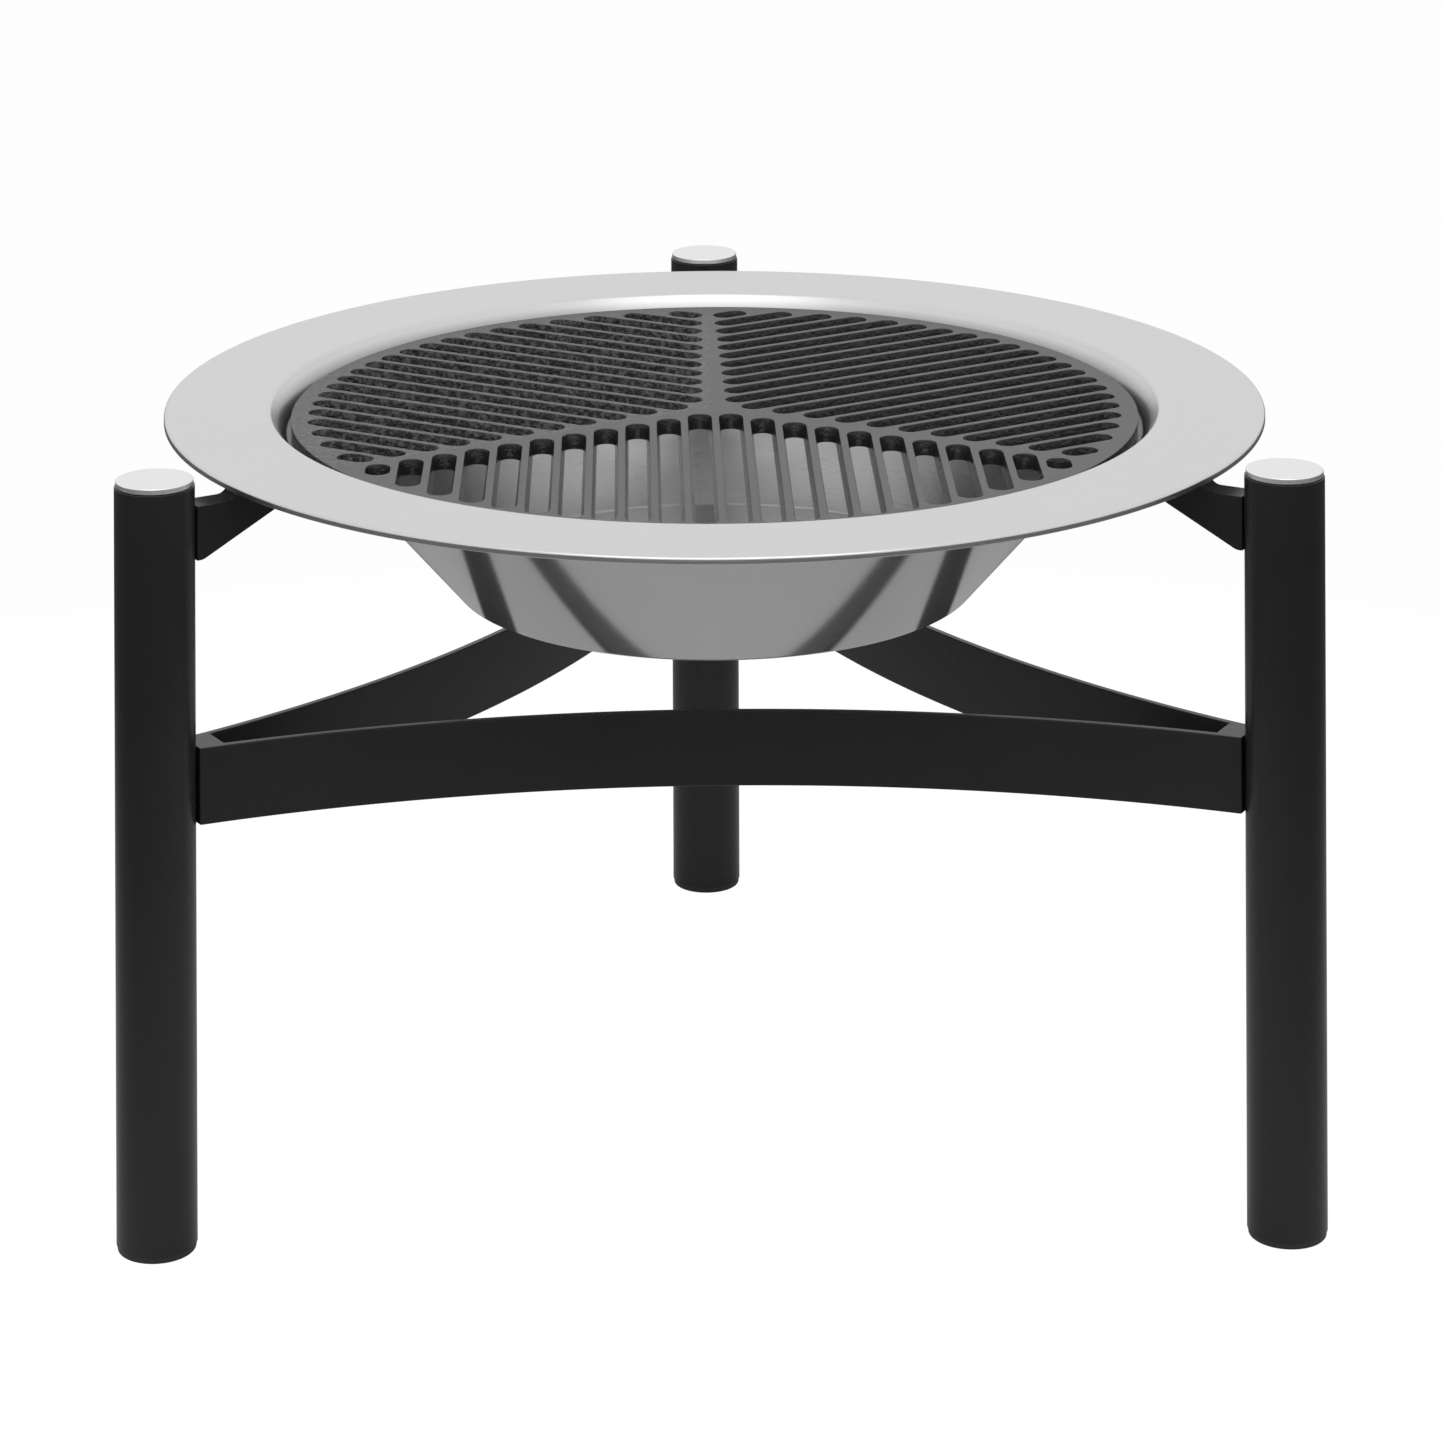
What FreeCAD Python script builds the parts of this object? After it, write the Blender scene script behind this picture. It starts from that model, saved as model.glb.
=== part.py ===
import FreeCAD, Part
import Sketcher
import math
import os

# Fire pit with grate: three tube legs tied by a bowed triangular frame, a flanged
# bowl resting on brackets, and a slotted cast grate resting on the bowl's ledge.
# Origin: on the bowl's axis, on the floor. +Z up, millimetres. The rear leg is on +Y.

SIZES = [
    # legs
    ("leg_diameter", 51.0, "leg tube outside"),
    ("leg_wall", 2.5, "leg tube wall"),
    ("leg_top", 481.5, "top end of the leg tube"),
    ("rim_gap", 16.4, "bowl's rim to the tube"),
    # leg end cap
    ("cap_setback", 0.85, "disc's edge in from the tube's outside"),
    ("cap_thickness", 3.7, "visible disc"),
    ("cap_edge_radius", 0.8, "rounded top edge of the disc"),
    ("cap_seam", 0.4, "shadow gap between disc and tube"),
    ("cap_seam_depth", 1.0, "shadow gap, measured inwards from the disc's edge"),
    ("plug_clearance", 0.2, "radial play of cap and foot spigots in the tube"),
    ("cap_spigot_length", 14.0, "below the seam"),
    # foot
    ("foot_setback", 0.7, "glide's edge in from the tube's outside"),
    ("foot_height", 4.0, "floor to tube end"),
    ("foot_edge_radius", 1.6, "rounded bottom edge"),
    ("foot_spigot_length", 16.0, "inside the tube"),
    # lower frame
    ("bar_gap", 42.3, "bowl's underside down to the frame bars"),
    ("bar_height", 48.5, "flat bar, tall side"),
    ("bar_thickness", 5.0, "flat bar, thin side"),
    ("bar_bow", 62.0, "how far a bar's middle lies inside the line between its ends"),
    ("corner_half", 12.45, "half the frame's width where it meets a leg"),
    # joint between frame or bracket and leg
    ("seat_bite", 0.6, "depth of the saddle milled for the tube"),
    ("block_length", 18.1, "corner block, measured from the saddle's face inwards"),
    # frame screws
    ("screw_diameter", 8.0, "M8"),
    ("screw_hole_play", 0.4, "clearance hole over the screw"),
    ("screw_length", 30.0, "under the head"),
    ("screw_head_diameter", 13.0, "socket head"),
    ("screw_head_height", 8.0, "socket head"),
    ("screw_socket_width", 6.0, "hexagon across flats"),
    ("screw_socket_depth", 4.0, "hexagon"),
    ("screw_head_edge", 0.6, "rounded edge of the head"),
    ("screw_spacing", 25.0, "lower screw to upper screw"),
    ("washer_diameter", 16.0, "under the head"),
    ("washer_thickness", 1.6, "under the head"),
    # rivet nuts
    ("nut_diameter", 11.0, "body through the tube wall"),
    ("nut_hole_play", 0.2, "tube hole over the nut's body"),
    ("nut_length", 17.0, "below the nut's head"),
    ("nut_head_diameter", 14.0, "thin head on the tube"),
    ("nut_head_thickness", 0.8, "thin head on the tube"),
    ("nut_head_play", 0.5, "counterbore in the block round the nut's head"),
    ("nut_bulge_diameter", 13.6, "upset collar inside the tube"),
    ("nut_bulge_length", 3.5, "upset collar inside the tube"),
    ("nut_bulge_play", 0.3, "collar to the tube's inner wall at its sides"),
    ("thread_play", 0.1, "diameter of the nut's thread over the screw"),
    # bowl bracket
    ("bracket_width", 20.0, "across, the same all along"),
    ("bracket_step_drop", 12.6, "flange's underside down to the step beside the leg"),
    ("bracket_height", 34.4, "step beside the leg down to the toe"),
    ("bracket_toe", 4.2, "flat underside next to the leg"),
    ("bracket_rise", 0.491, "slope of the underside, up for each unit inwards"),
    ("bracket_inset", 11.1, "inside of the bowl's lip to the start of the level pad"),
    ("bracket_step_radius", 7.5, "hollow between the step and the pad"),
    ("bracket_toe_radius", 9.0, "round between the toe and the sloping underside"),
    ("bracket_play", 3.2, "bracket's inner end to the bowl's wall"),
    ("bracket_edge", 0.5, "broken edges"),
    # bowl
    ("sheet", 2.0, "bowl sheet"),
    ("rim_radius", 371.5, "outer edge of the flange"),
    ("rim_drop", 0.3, "tube's top end down to the flange's top face"),
    ("lip_height", 4.8, "turned-down lip, from the flange's top face"),
    ("lip_round", 2.2, "outer round of the lip"),
    ("flange_width", 70.5, "outer edge to the bowl's mouth, before its round"),
    ("mouth_round", 4.0, "round of the flange's inner edge"),
    ("ledge_depth", 17.6, "flange top to the ledge that carries the grate"),
    ("wall_lean", 11.0, "how much smaller the ledge's outer radius is than the mouth's"),
    ("ledge_width", 20.9, "ledge's outer edge to the top of the cone's outside"),
    ("ledge_round", 2.4, "inside round of the ledge's outer corner"),
    ("base_radius", 174.5, "flat bottom, outside"),
    ("bowl_depth", 124.7, "flange top to the underside of the bottom"),
    ("base_round", 5.0, "outside round between bottom and cone"),
    # grate
    ("grate_play", 3.0, "ledge's outer edge to the grate's edge"),
    ("grate_thickness", 10.0, "casting"),
    ("grate_taper", 1.5, "how much smaller the underside's radius is"),
    ("grate_edge", 1.2, "rounded upper edge"),
    ("grate_ring", 12.5, "solid ring outside the slots"),
    ("slot_pitch", 21.0, "slot to slot, square to the slots"),
    ("slot_width", 14.0, "slot, round ended"),
    ("grate_sectors", 3, "sectors of parallel slots, one spoke between each two"),
    ("spoke_half", 5.0, "half the spoke's width at the ring"),
    ("spoke_growth", 4.0, "what half the spoke's width gains from the ring to the hub"),
]

LEG_ANGLES = {"left": 210, "right": 330, "rear": 90}
BAR_ANGLES = {"front": 0, "right": 120, "left": 240}


def make_sheet(doc):
    """Write the driving sizes into a spreadsheet, one alias for each."""
    sheet = doc.addObject("Spreadsheet::Sheet", "Sizes")
    for row, (alias, value, note) in enumerate(SIZES, start=1):
        sheet.set(f"A{row}", note)
        sheet.set(f"B{row}", str(value))
        sheet.setAlias(f"B{row}", alias)
    doc.recompute()
    return sheet


DOC = FreeCAD.newDocument("fire_pit")
SHEET = make_sheet(DOC)

# Expressions for lengths that several sub-parts share.
LEG_RADIUS = "Sizes.leg_diameter / 2"
BORE_RADIUS = "(Sizes.leg_diameter / 2 - Sizes.leg_wall)"
SEAT = "(Sizes.leg_diameter / 2 - Sizes.seat_bite)"
BLOCK_FACE = f"({SEAT} + Sizes.block_length)"
LEG_CIRCLE = f"(Sizes.rim_radius + Sizes.rim_gap + {LEG_RADIUS})"
RIM_TOP = "(Sizes.leg_top - Sizes.rim_drop)"
FLANGE_UNDER = f"({RIM_TOP} - Sizes.sheet)"
LEDGE_TOP = f"({RIM_TOP} - Sizes.ledge_depth)"
LEDGE_UNDER = f"({LEDGE_TOP} - Sizes.sheet)"
BASE_UNDER = f"({RIM_TOP} - Sizes.bowl_depth)"
MOUTH_RADIUS = "(Sizes.rim_radius - Sizes.flange_width)"
LEDGE_RADIUS = f"({MOUTH_RADIUS} - Sizes.wall_lean)"
CONE_TOP = f"({LEDGE_RADIUS} - Sizes.ledge_width)"
WALL_RATE = "(Sizes.wall_lean / Sizes.ledge_depth)"
CONE_RATE = f"(({CONE_TOP} - Sizes.base_radius) / ({LEDGE_UNDER} - {BASE_UNDER}))"
WALL_SKEW = f"(Sizes.sheet * sqrt(1 + {WALL_RATE}^2))"
CONE_SKEW = f"(Sizes.sheet * sqrt(1 + {CONE_RATE}^2))"
MOUTH_OUTSIDE = f"({MOUTH_RADIUS} - {WALL_RATE} * Sizes.sheet + {WALL_SKEW})"
GRATE_RADIUS = f"({LEDGE_RADIUS} - Sizes.grate_play)"
HALF_SECTOR = "(180 deg / Sizes.grate_sectors)"
BAR_BOTTOM = f"({BASE_UNDER} - Sizes.bar_gap - Sizes.bar_height)"
LOW_SCREW = f"({BAR_BOTTOM} + (Sizes.bar_height - Sizes.screw_spacing) / 2)"

# The outer face of a frame bar is an arc; its ends lie beside two legs' radial lines.
BAR_REACH = f"({LEG_CIRCLE} - {SEAT})"
BAR_END_X = f"({BAR_REACH} * cos(30 deg) - Sizes.corner_half * sin(30 deg))"
BAR_END_Y = f"({BAR_REACH} * sin(30 deg) + Sizes.corner_half * cos(30 deg))"
BAR_RADIUS = f"(({BAR_END_X}^2 + Sizes.bar_bow^2) / (2 * Sizes.bar_bow))"
BAR_INSIDE = f"({BAR_RADIUS} + Sizes.bar_thickness)"
BAR_CENTRE = f"({BAR_END_Y} - Sizes.bar_bow + {BAR_RADIUS})"


def number(expression):
    """The value that an expression on the sheet has now."""
    return float(SHEET.evalExpression(expression))


def new_body(label):
    body = DOC.addObject("PartDesign::Body", label)
    body.Label = label
    body.AllowCompound = True
    return body


def plane_of(body, role):
    return next(item for item in body.Origin.OriginFeatures if item.Role == role)


def new_sketch(body, name, role, lift=None):
    """A sketch on one of the body's own planes, lifted along the plane's normal."""
    sketch = body.newObject("Sketcher::SketchObject", name)
    sketch.AttachmentSupport = [(plane_of(body, role), "")]
    sketch.MapMode = "FlatFace"
    if lift:
        sketch.setExpression("AttachmentOffset.Base.z", lift)
    return sketch


def pin(sketch, kind, geometry, point, expression, name):
    """Hold a point's distance from the sketch's origin, along X or Y."""
    constraint = Sketcher.Constraint(kind, -1, 1, geometry, point, number(expression))
    index = sketch.addConstraint(constraint)
    sketch.renameConstraint(index, name)
    sketch.setExpression(f"Constraints.{name}", expression)


def outline(sketch, corners):
    """A closed outline of straight lines through corners given as expressions."""
    places = [FreeCAD.Vector(number(x), number(y), 0) for x, y in corners]
    count = len(corners)
    lines = [Part.LineSegment(places[i], places[(i + 1) % count]) for i in range(count)]
    first = sketch.addGeometry(lines, False)[0]
    joints = []
    for i in range(count):
        following = first + (i + 1) % count
        joints.append(Sketcher.Constraint("Coincident", first + i, 2, following, 1))
    sketch.addConstraint(joints)
    for i, (x, y) in enumerate(corners):
        pin(sketch, "DistanceX", first + i, 1, x, f"x{i}")
        pin(sketch, "DistanceY", first + i, 1, y, f"y{i}")


def circle(sketch, radius, x="0", y="0", name="ring"):
    centre = FreeCAD.Vector(number(x), number(y), 0)
    shape = Part.Circle(centre, FreeCAD.Vector(0, 0, 1), number(radius))
    index = sketch.addGeometry(shape, False)
    size = sketch.addConstraint(Sketcher.Constraint("Radius", index, number(radius)))
    sketch.renameConstraint(size, f"{name}_radius")
    sketch.setExpression(f"Constraints.{name}_radius", radius)
    pin(sketch, "DistanceX", index, 3, x, f"{name}_x")
    pin(sketch, "DistanceY", index, 3, y, f"{name}_y")


def pad(body, sketch, length, both_ways=False):
    feature = body.newObject("PartDesign::Pad", f"{sketch.Name}_pad")
    feature.Profile = sketch
    feature.setExpression("Length", length)
    feature.Midplane = both_ways
    sketch.Visibility = False
    DOC.recompute()
    return feature


def cut(body, sketch, length, reverse=False, both_ways=False):
    """Pocket a sketch, and make sure that it really removed something."""
    before = body.Shape.Volume
    feature = body.newObject("PartDesign::Pocket", f"{sketch.Name}_pocket")
    feature.Profile = sketch
    feature.setExpression("Length", length)
    feature.Reversed = reverse
    feature.Midplane = both_ways
    DOC.recompute()
    assert body.Shape.Volume < before, f"{feature.Name} cuts nothing"
    return feature


def spin(body, sketch, axis):
    feature = body.newObject("PartDesign::Revolution", f"{sketch.Name}_spin")
    feature.Profile = sketch
    feature.ReferenceAxis = (sketch, [axis])
    feature.Angle = 360
    DOC.recompute()
    return feature


def round_edges(body, wanted, radius, name):
    """Fillet every edge of the body's tip that the test picks."""
    tip = body.Tip
    names = [f"Edge{i}" for i, edge in enumerate(tip.Shape.Edges, start=1) if wanted(edge)]
    assert names, f"{name} finds no edge"
    feature = body.newObject("PartDesign::Fillet", name)
    feature.Base = (tip, names)
    feature.setExpression("Radius", radius)
    DOC.recompute()
    return feature


def ring_edge(radius, height):
    """Test for the circular edge of this radius and height about the Z axis."""
    def wanted(edge):
        if not isinstance(edge.Curve, Part.Circle):
            return False
        near = abs(edge.Curve.Radius - number(radius)) < 0.01
        return near and abs(edge.Curve.Center.z - number(height)) < 0.01
    return wanted


def place_at_leg(body, angle):
    """Put a body made round a leg's axis, with +X inwards, at one of the legs."""
    turn = FreeCAD.Rotation(FreeCAD.Vector(0, 0, 1), angle + 180)
    body.Placement = FreeCAD.Placement(FreeCAD.Vector(0, 0, 0), turn)
    body.setExpression("Placement.Base.x", f"{LEG_CIRCLE} * cos({angle} deg)")
    body.setExpression("Placement.Base.y", f"{LEG_CIRCLE} * sin({angle} deg)")


def leg_tube(side, angle):
    body = new_body(f"leg_tube_{side}")
    ring = new_sketch(body, f"tube_{side}", "XY_Plane", "Sizes.foot_height")
    circle(ring, LEG_RADIUS, name="outside")
    circle(ring, BORE_RADIUS, name="inside")
    pad(body, ring, "Sizes.leg_top - Sizes.foot_height")
    holes = new_sketch(body, f"nut_holes_{side}", "YZ_Plane")
    radius = "(Sizes.nut_diameter + Sizes.nut_hole_play) / 2"
    circle(holes, radius, y=LOW_SCREW, name="lower")
    circle(holes, radius, y=f"{LOW_SCREW} + Sizes.screw_spacing", name="upper")
    cut(body, holes, "Sizes.leg_diameter", reverse=True)
    place_at_leg(body, angle)
    return body


def leg_cap(side, angle):
    """Turned disc with a spigot; a narrow neck leaves the shadow gap over the tube."""
    body = new_body(f"leg_cap_{side}")
    section = new_sketch(body, f"cap_{side}", "XZ_Plane")
    spigot = f"({BORE_RADIUS} - Sizes.plug_clearance)"
    disc = f"({LEG_RADIUS} - Sizes.cap_setback)"
    neck = f"({disc} - Sizes.cap_seam_depth)"
    seam_top = "(Sizes.leg_top + Sizes.cap_seam)"
    disc_top = f"({seam_top} + Sizes.cap_thickness)"
    outline(section, [
        ("0", "Sizes.leg_top - Sizes.cap_spigot_length"),
        (spigot, "Sizes.leg_top - Sizes.cap_spigot_length"),
        (spigot, "Sizes.leg_top"),
        (neck, "Sizes.leg_top"),
        (neck, seam_top),
        (disc, seam_top),
        (disc, disc_top),
        ("0", disc_top),
    ])
    spin(body, section, "V_Axis")
    edge = ring_edge(disc, disc_top)
    round_edges(body, edge, "Sizes.cap_edge_radius", f"cap_edge_{side}")
    place_at_leg(body, angle)
    return body


def leg_foot(side, angle):
    """Moulded plug: a spigot in the tube and a round-edged glide under it."""
    body = new_body(f"leg_foot_{side}")
    section = new_sketch(body, f"foot_{side}", "XZ_Plane")
    glide = f"({LEG_RADIUS} - Sizes.foot_setback)"
    spigot = f"({BORE_RADIUS} - Sizes.plug_clearance)"
    outline(section, [
        ("0", "0"),
        (glide, "0"),
        (glide, "Sizes.foot_height"),
        (spigot, "Sizes.foot_height"),
        (spigot, "Sizes.foot_height + Sizes.foot_spigot_length"),
        ("0", "Sizes.foot_height + Sizes.foot_spigot_length"),
    ])
    spin(body, section, "V_Axis")
    edge = ring_edge(glide, "0")
    round_edges(body, edge, "Sizes.foot_edge_radius", f"foot_edge_{side}")
    place_at_leg(body, angle)
    return body


def arc(sketch, centre, radius, start, end):
    """Add a circular arc that runs anticlockwise from one point to another."""
    ring = Part.Circle(centre, FreeCAD.Vector(0, 0, 1), radius)
    first = math.atan2(start.y - centre.y, start.x - centre.x)
    last = math.atan2(end.y - centre.y, end.x - centre.x)
    return sketch.addGeometry(Part.ArcOfCircle(ring, first, last), False)


def arc_point(radius, distance, angle):
    """Where a bar's arc meets the line at this distance and direction from the bowl axis."""
    centre = FreeCAD.Vector(0, -number(BAR_CENTRE), 0)
    normal = FreeCAD.Vector(math.cos(angle), math.sin(angle), 0)
    along = FreeCAD.Vector(-normal.y, normal.x, 0)
    gap = distance - centre.dot(normal)
    reach = math.sqrt(radius ** 2 - gap ** 2)
    ends = [centre + normal * gap + along * way * reach for way in (1, -1)]
    return max(ends, key=lambda place: place.y)


def frame_bar(side, angle):
    """Flat bar bent about one axis, its ends cut square to the legs' radial lines."""
    body = new_body(f"frame_bar_{side}")
    plan = new_sketch(body, f"bar_{side}", "XY_Plane", BAR_BOTTOM)
    centre = FreeCAD.Vector(0, -number(BAR_CENTRE), 0)
    reach = number(BAR_REACH)
    radii = [number(BAR_RADIUS), number(BAR_INSIDE)]
    left = [arc_point(radius, reach, math.radians(210)) for radius in radii]
    right = [arc_point(radius, reach, math.radians(330)) for radius in radii]
    outer = arc(plan, centre, radii[0], right[0], left[0])
    inner = arc(plan, centre, radii[1], right[1], left[1])
    left_end = plan.addGeometry(Part.LineSegment(left[0], left[1]), False)
    right_end = plan.addGeometry(Part.LineSegment(right[0], right[1]), False)
    plan.addConstraint([
        Sketcher.Constraint("Coincident", outer, 3, inner, 3),
        Sketcher.Constraint("Coincident", left_end, 1, outer, 2),
        Sketcher.Constraint("Coincident", left_end, 2, inner, 2),
        Sketcher.Constraint("Coincident", right_end, 1, outer, 1),
        Sketcher.Constraint("Coincident", right_end, 2, inner, 1),
    ])
    pin(plan, "DistanceX", outer, 3, "0", "centre_x")
    pin(plan, "DistanceY", outer, 3, f"-{BAR_CENTRE}", "centre_y")
    for name, geometry, radius in (
        ("outer_radius", outer, BAR_RADIUS),
        ("inner_radius", inner, BAR_INSIDE),
    ):
        index = plan.addConstraint(Sketcher.Constraint("Radius", geometry, number(radius)))
        plan.renameConstraint(index, name)
        plan.setExpression(f"Constraints.{name}", radius)
    for name, geometry in (("left_reach", left_end), ("right_reach", right_end)):
        index = plan.addConstraint(Sketcher.Constraint("Distance", -1, 1, geometry, reach))
        plan.renameConstraint(index, name)
        plan.setExpression(f"Constraints.{name}", BAR_REACH)
    for geometry, places in ((left_end, left), (right_end, right)):
        slope = places[1] - places[0]
        lean = math.atan2(slope.y, slope.x)
        plan.addConstraint(Sketcher.Constraint("Angle", geometry, lean))
    pad(body, plan, "Sizes.bar_height")
    body.Placement = FreeCAD.Placement(
        FreeCAD.Vector(0, 0, 0), FreeCAD.Rotation(FreeCAD.Vector(0, 0, 1), angle))
    return body


def corner_block(side, angle):
    """Filler between two bar ends: sides follow the bars, a saddle takes the tube."""
    body = new_body(f"corner_block_{side}")
    plan = new_sketch(body, f"block_{side}", "XY_Plane", BAR_BOTTOM)
    radius = number(BAR_INSIDE)
    middle_x = f"{LEG_CIRCLE} - {BAR_CENTRE} * cos(60 deg)"
    middle_y = f"{BAR_CENTRE} * sin(60 deg)"
    centre = FreeCAD.Vector(number(middle_x), number(middle_y), 0)
    corners = {}
    for key, place in (("seat", SEAT), ("face", BLOCK_FACE)):
        x = number(place)
        y = centre.y - math.sqrt(radius ** 2 - (x - centre.x) ** 2)
        corners[key] = FreeCAD.Vector(x, y, 0)
    flip = {key: FreeCAD.Vector(place.x, -place.y, 0) for key, place in corners.items()}
    other = FreeCAD.Vector(centre.x, -centre.y, 0)
    low = arc(plan, centre, radius, corners["seat"], corners["face"])
    high = arc(plan, other, radius, flip["face"], flip["seat"])
    seat = plan.addGeometry(Part.LineSegment(corners["seat"], flip["seat"]), False)
    face = plan.addGeometry(Part.LineSegment(corners["face"], flip["face"]), False)
    plan.addConstraint([
        Sketcher.Constraint("Coincident", seat, 1, low, 1),
        Sketcher.Constraint("Coincident", face, 1, low, 2),
        Sketcher.Constraint("Coincident", seat, 2, high, 2),
        Sketcher.Constraint("Coincident", face, 2, high, 1),
        Sketcher.Constraint("Vertical", seat),
        Sketcher.Constraint("Vertical", face),
        Sketcher.Constraint("Equal", low, high),
    ])
    pin(plan, "DistanceX", low, 3, middle_x, "low_x")
    pin(plan, "DistanceY", low, 3, middle_y, "low_y")
    pin(plan, "DistanceX", high, 3, middle_x, "high_x")
    pin(plan, "DistanceY", high, 3, f"-{middle_y}", "high_y")
    pin(plan, "DistanceX", seat, 1, SEAT, "seat_x")
    pin(plan, "DistanceX", face, 1, BLOCK_FACE, "face_x")
    index = plan.addConstraint(Sketcher.Constraint("Radius", low, radius))
    plan.renameConstraint(index, "bend")
    plan.setExpression("Constraints.bend", BAR_INSIDE)
    pad(body, plan, "Sizes.bar_height")

    saddle = new_sketch(body, f"block_saddle_{side}", "XY_Plane")
    circle(saddle, LEG_RADIUS)
    cut(body, saddle, "2 * Sizes.leg_top", both_ways=True)

    upper_screw = f"{LOW_SCREW} + Sizes.screw_spacing"
    holes = new_sketch(body, f"screw_holes_{side}", "YZ_Plane")
    radius = "(Sizes.screw_diameter + Sizes.screw_hole_play) / 2"
    circle(holes, radius, y=LOW_SCREW, name="lower")
    circle(holes, radius, y=upper_screw, name="upper")
    cut(body, holes, "2 * Sizes.leg_diameter", reverse=True)

    recess = new_sketch(body, f"nut_recess_{side}", "YZ_Plane")
    radius = "Sizes.nut_head_diameter / 2 + Sizes.nut_head_play"
    circle(recess, radius, y=LOW_SCREW, name="lower")
    circle(recess, radius, y=upper_screw, name="upper")
    depth = f"{LEG_RADIUS} + Sizes.nut_head_thickness + Sizes.nut_head_play"
    cut(body, recess, depth, reverse=True)
    place_at_leg(body, angle)
    return body


def bowl_bracket(side, angle):
    """Solid bracket cut from thick plate: low step, hollow, level pad under the flange."""
    body = new_body(f"bowl_bracket_{side}")
    profile = new_sketch(body, f"bracket_{side}", "XZ_Plane")
    toe = f"({SEAT} + Sizes.bracket_toe)"
    step = f"({LEG_RADIUS} + Sizes.rim_gap + Sizes.sheet + Sizes.bracket_inset)"
    end = f"({LEG_CIRCLE} - {MOUTH_OUTSIDE} - Sizes.bracket_play)"
    top = f"({FLANGE_UNDER} - Sizes.bracket_step_drop)"
    bottom = f"({top} - Sizes.bracket_height)"
    outline(profile, [
        (SEAT, bottom),
        (toe, bottom),
        (end, f"{bottom} + ({end} - {toe}) * Sizes.bracket_rise"),
        (end, FLANGE_UNDER),
        (step, FLANGE_UNDER),
        (step, top),
        (SEAT, top),
    ])
    pad(body, profile, "Sizes.bracket_width", both_ways=True)

    def cross_edge(x, z):
        def wanted(edge):
            middle = edge.CenterOfMass
            across = abs(edge.BoundBox.YLength - number("Sizes.bracket_width")) < 0.01
            return across and abs(middle.x - number(x)) < 0.01 and abs(middle.z - number(z)) < 0.01
        return wanted

    hollow = cross_edge(step, top)
    round_edges(body, hollow, "Sizes.bracket_step_radius", f"bracket_hollow_{side}")
    heel = cross_edge(toe, bottom)
    round_edges(body, heel, "Sizes.bracket_toe_radius", f"bracket_heel_{side}")

    def side_edge(edge):
        beside = abs(abs(edge.CenterOfMass.y) - number("Sizes.bracket_width") / 2) < 0.01
        flat = edge.BoundBox.YLength < 0.01
        upright_at_leg = abs(edge.CenterOfMass.x - number(SEAT)) < 0.01
        pad_top = abs(edge.CenterOfMass.z - number(FLANGE_UNDER)) < 0.01
        return beside and flat and not upright_at_leg and not pad_top

    round_edges(body, side_edge, "Sizes.bracket_edge", f"bracket_edges_{side}")
    saddle = new_sketch(body, f"bracket_saddle_{side}", "XY_Plane")
    circle(saddle, LEG_RADIUS)
    cut(body, saddle, "4 * Sizes.leg_top", both_ways=True)
    place_at_leg(body, angle)
    return body


def stack_pair(body, features):
    """Repeat a fastener's features once, one screw spacing higher."""
    pair = body.newObject("PartDesign::LinearPattern", f"{body.Name}_pair")
    pair.Originals = features
    pair.Direction = (plane_of(body, "Z_Axis"), [""])
    pair.Occurrences = 2
    pair.setExpression("Length", "Sizes.screw_spacing")
    body.Tip = pair
    DOC.recompute()


def turned(body, sketch, corners):
    """Spin a section about the lower screw's axis, drawn in the sketch as a guide line."""
    outline(sketch, corners)
    start = FreeCAD.Vector(0, number(LOW_SCREW), 0)
    finish = FreeCAD.Vector(number(SEAT), number(LOW_SCREW), 0)
    axis = sketch.addGeometry(Part.LineSegment(start, finish), True)
    pin(sketch, "DistanceX", axis, 1, "0", "axis_start_x")
    pin(sketch, "DistanceY", axis, 1, LOW_SCREW, "axis_start_y")
    pin(sketch, "DistanceX", axis, 2, SEAT, "axis_end_x")
    pin(sketch, "DistanceY", axis, 2, LOW_SCREW, "axis_end_y")
    return spin(body, sketch, "Axis0")


def frame_screws(side, angle):
    """Two socket screws, driven from inside the frame's corner towards the leg."""
    body = new_body(f"frame_screws_{side}")
    section = new_sketch(body, f"screw_{side}", "XZ_Plane")
    under = f"({BLOCK_FACE} + Sizes.washer_thickness)"
    top = f"({under} + Sizes.screw_head_height)"
    shank = "(Sizes.screw_diameter / 2)"
    head = "(Sizes.screw_head_diameter / 2)"
    screw = turned(body, section, [
        (f"{under} - Sizes.screw_length", LOW_SCREW),
        (f"{under} - Sizes.screw_length", f"{LOW_SCREW} + {shank}"),
        (under, f"{LOW_SCREW} + {shank}"),
        (under, f"{LOW_SCREW} + {head}"),
        (f"{top} - Sizes.screw_head_edge", f"{LOW_SCREW} + {head}"),
        (top, f"{LOW_SCREW} + {head} - Sizes.screw_head_edge"),
        (top, LOW_SCREW),
    ])
    hexagon = new_sketch(body, f"screw_socket_{side}", "YZ_Plane", top)
    reach = "(Sizes.screw_socket_width / sqrt(3))"
    outline(hexagon, [
        (f"{reach} * cos({60 * i} deg)", f"{LOW_SCREW} + {reach} * sin({60 * i} deg)")
        for i in range(6)
    ])
    socket = cut(body, hexagon, "Sizes.screw_socket_depth")
    stack_pair(body, [screw, socket])
    place_at_leg(body, angle)
    return body


def frame_washers(side, angle):
    body = new_body(f"frame_washers_{side}")
    section = new_sketch(body, f"washer_{side}", "XZ_Plane")
    inner = f"{LOW_SCREW} + (Sizes.screw_diameter + Sizes.screw_hole_play) / 2"
    outer = f"{LOW_SCREW} + Sizes.washer_diameter / 2"
    front = f"{BLOCK_FACE} + Sizes.washer_thickness"
    washer = turned(body, section, [
        (BLOCK_FACE, inner), (front, inner), (front, outer), (BLOCK_FACE, outer),
    ])
    stack_pair(body, [washer])
    place_at_leg(body, angle)
    return body


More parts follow.
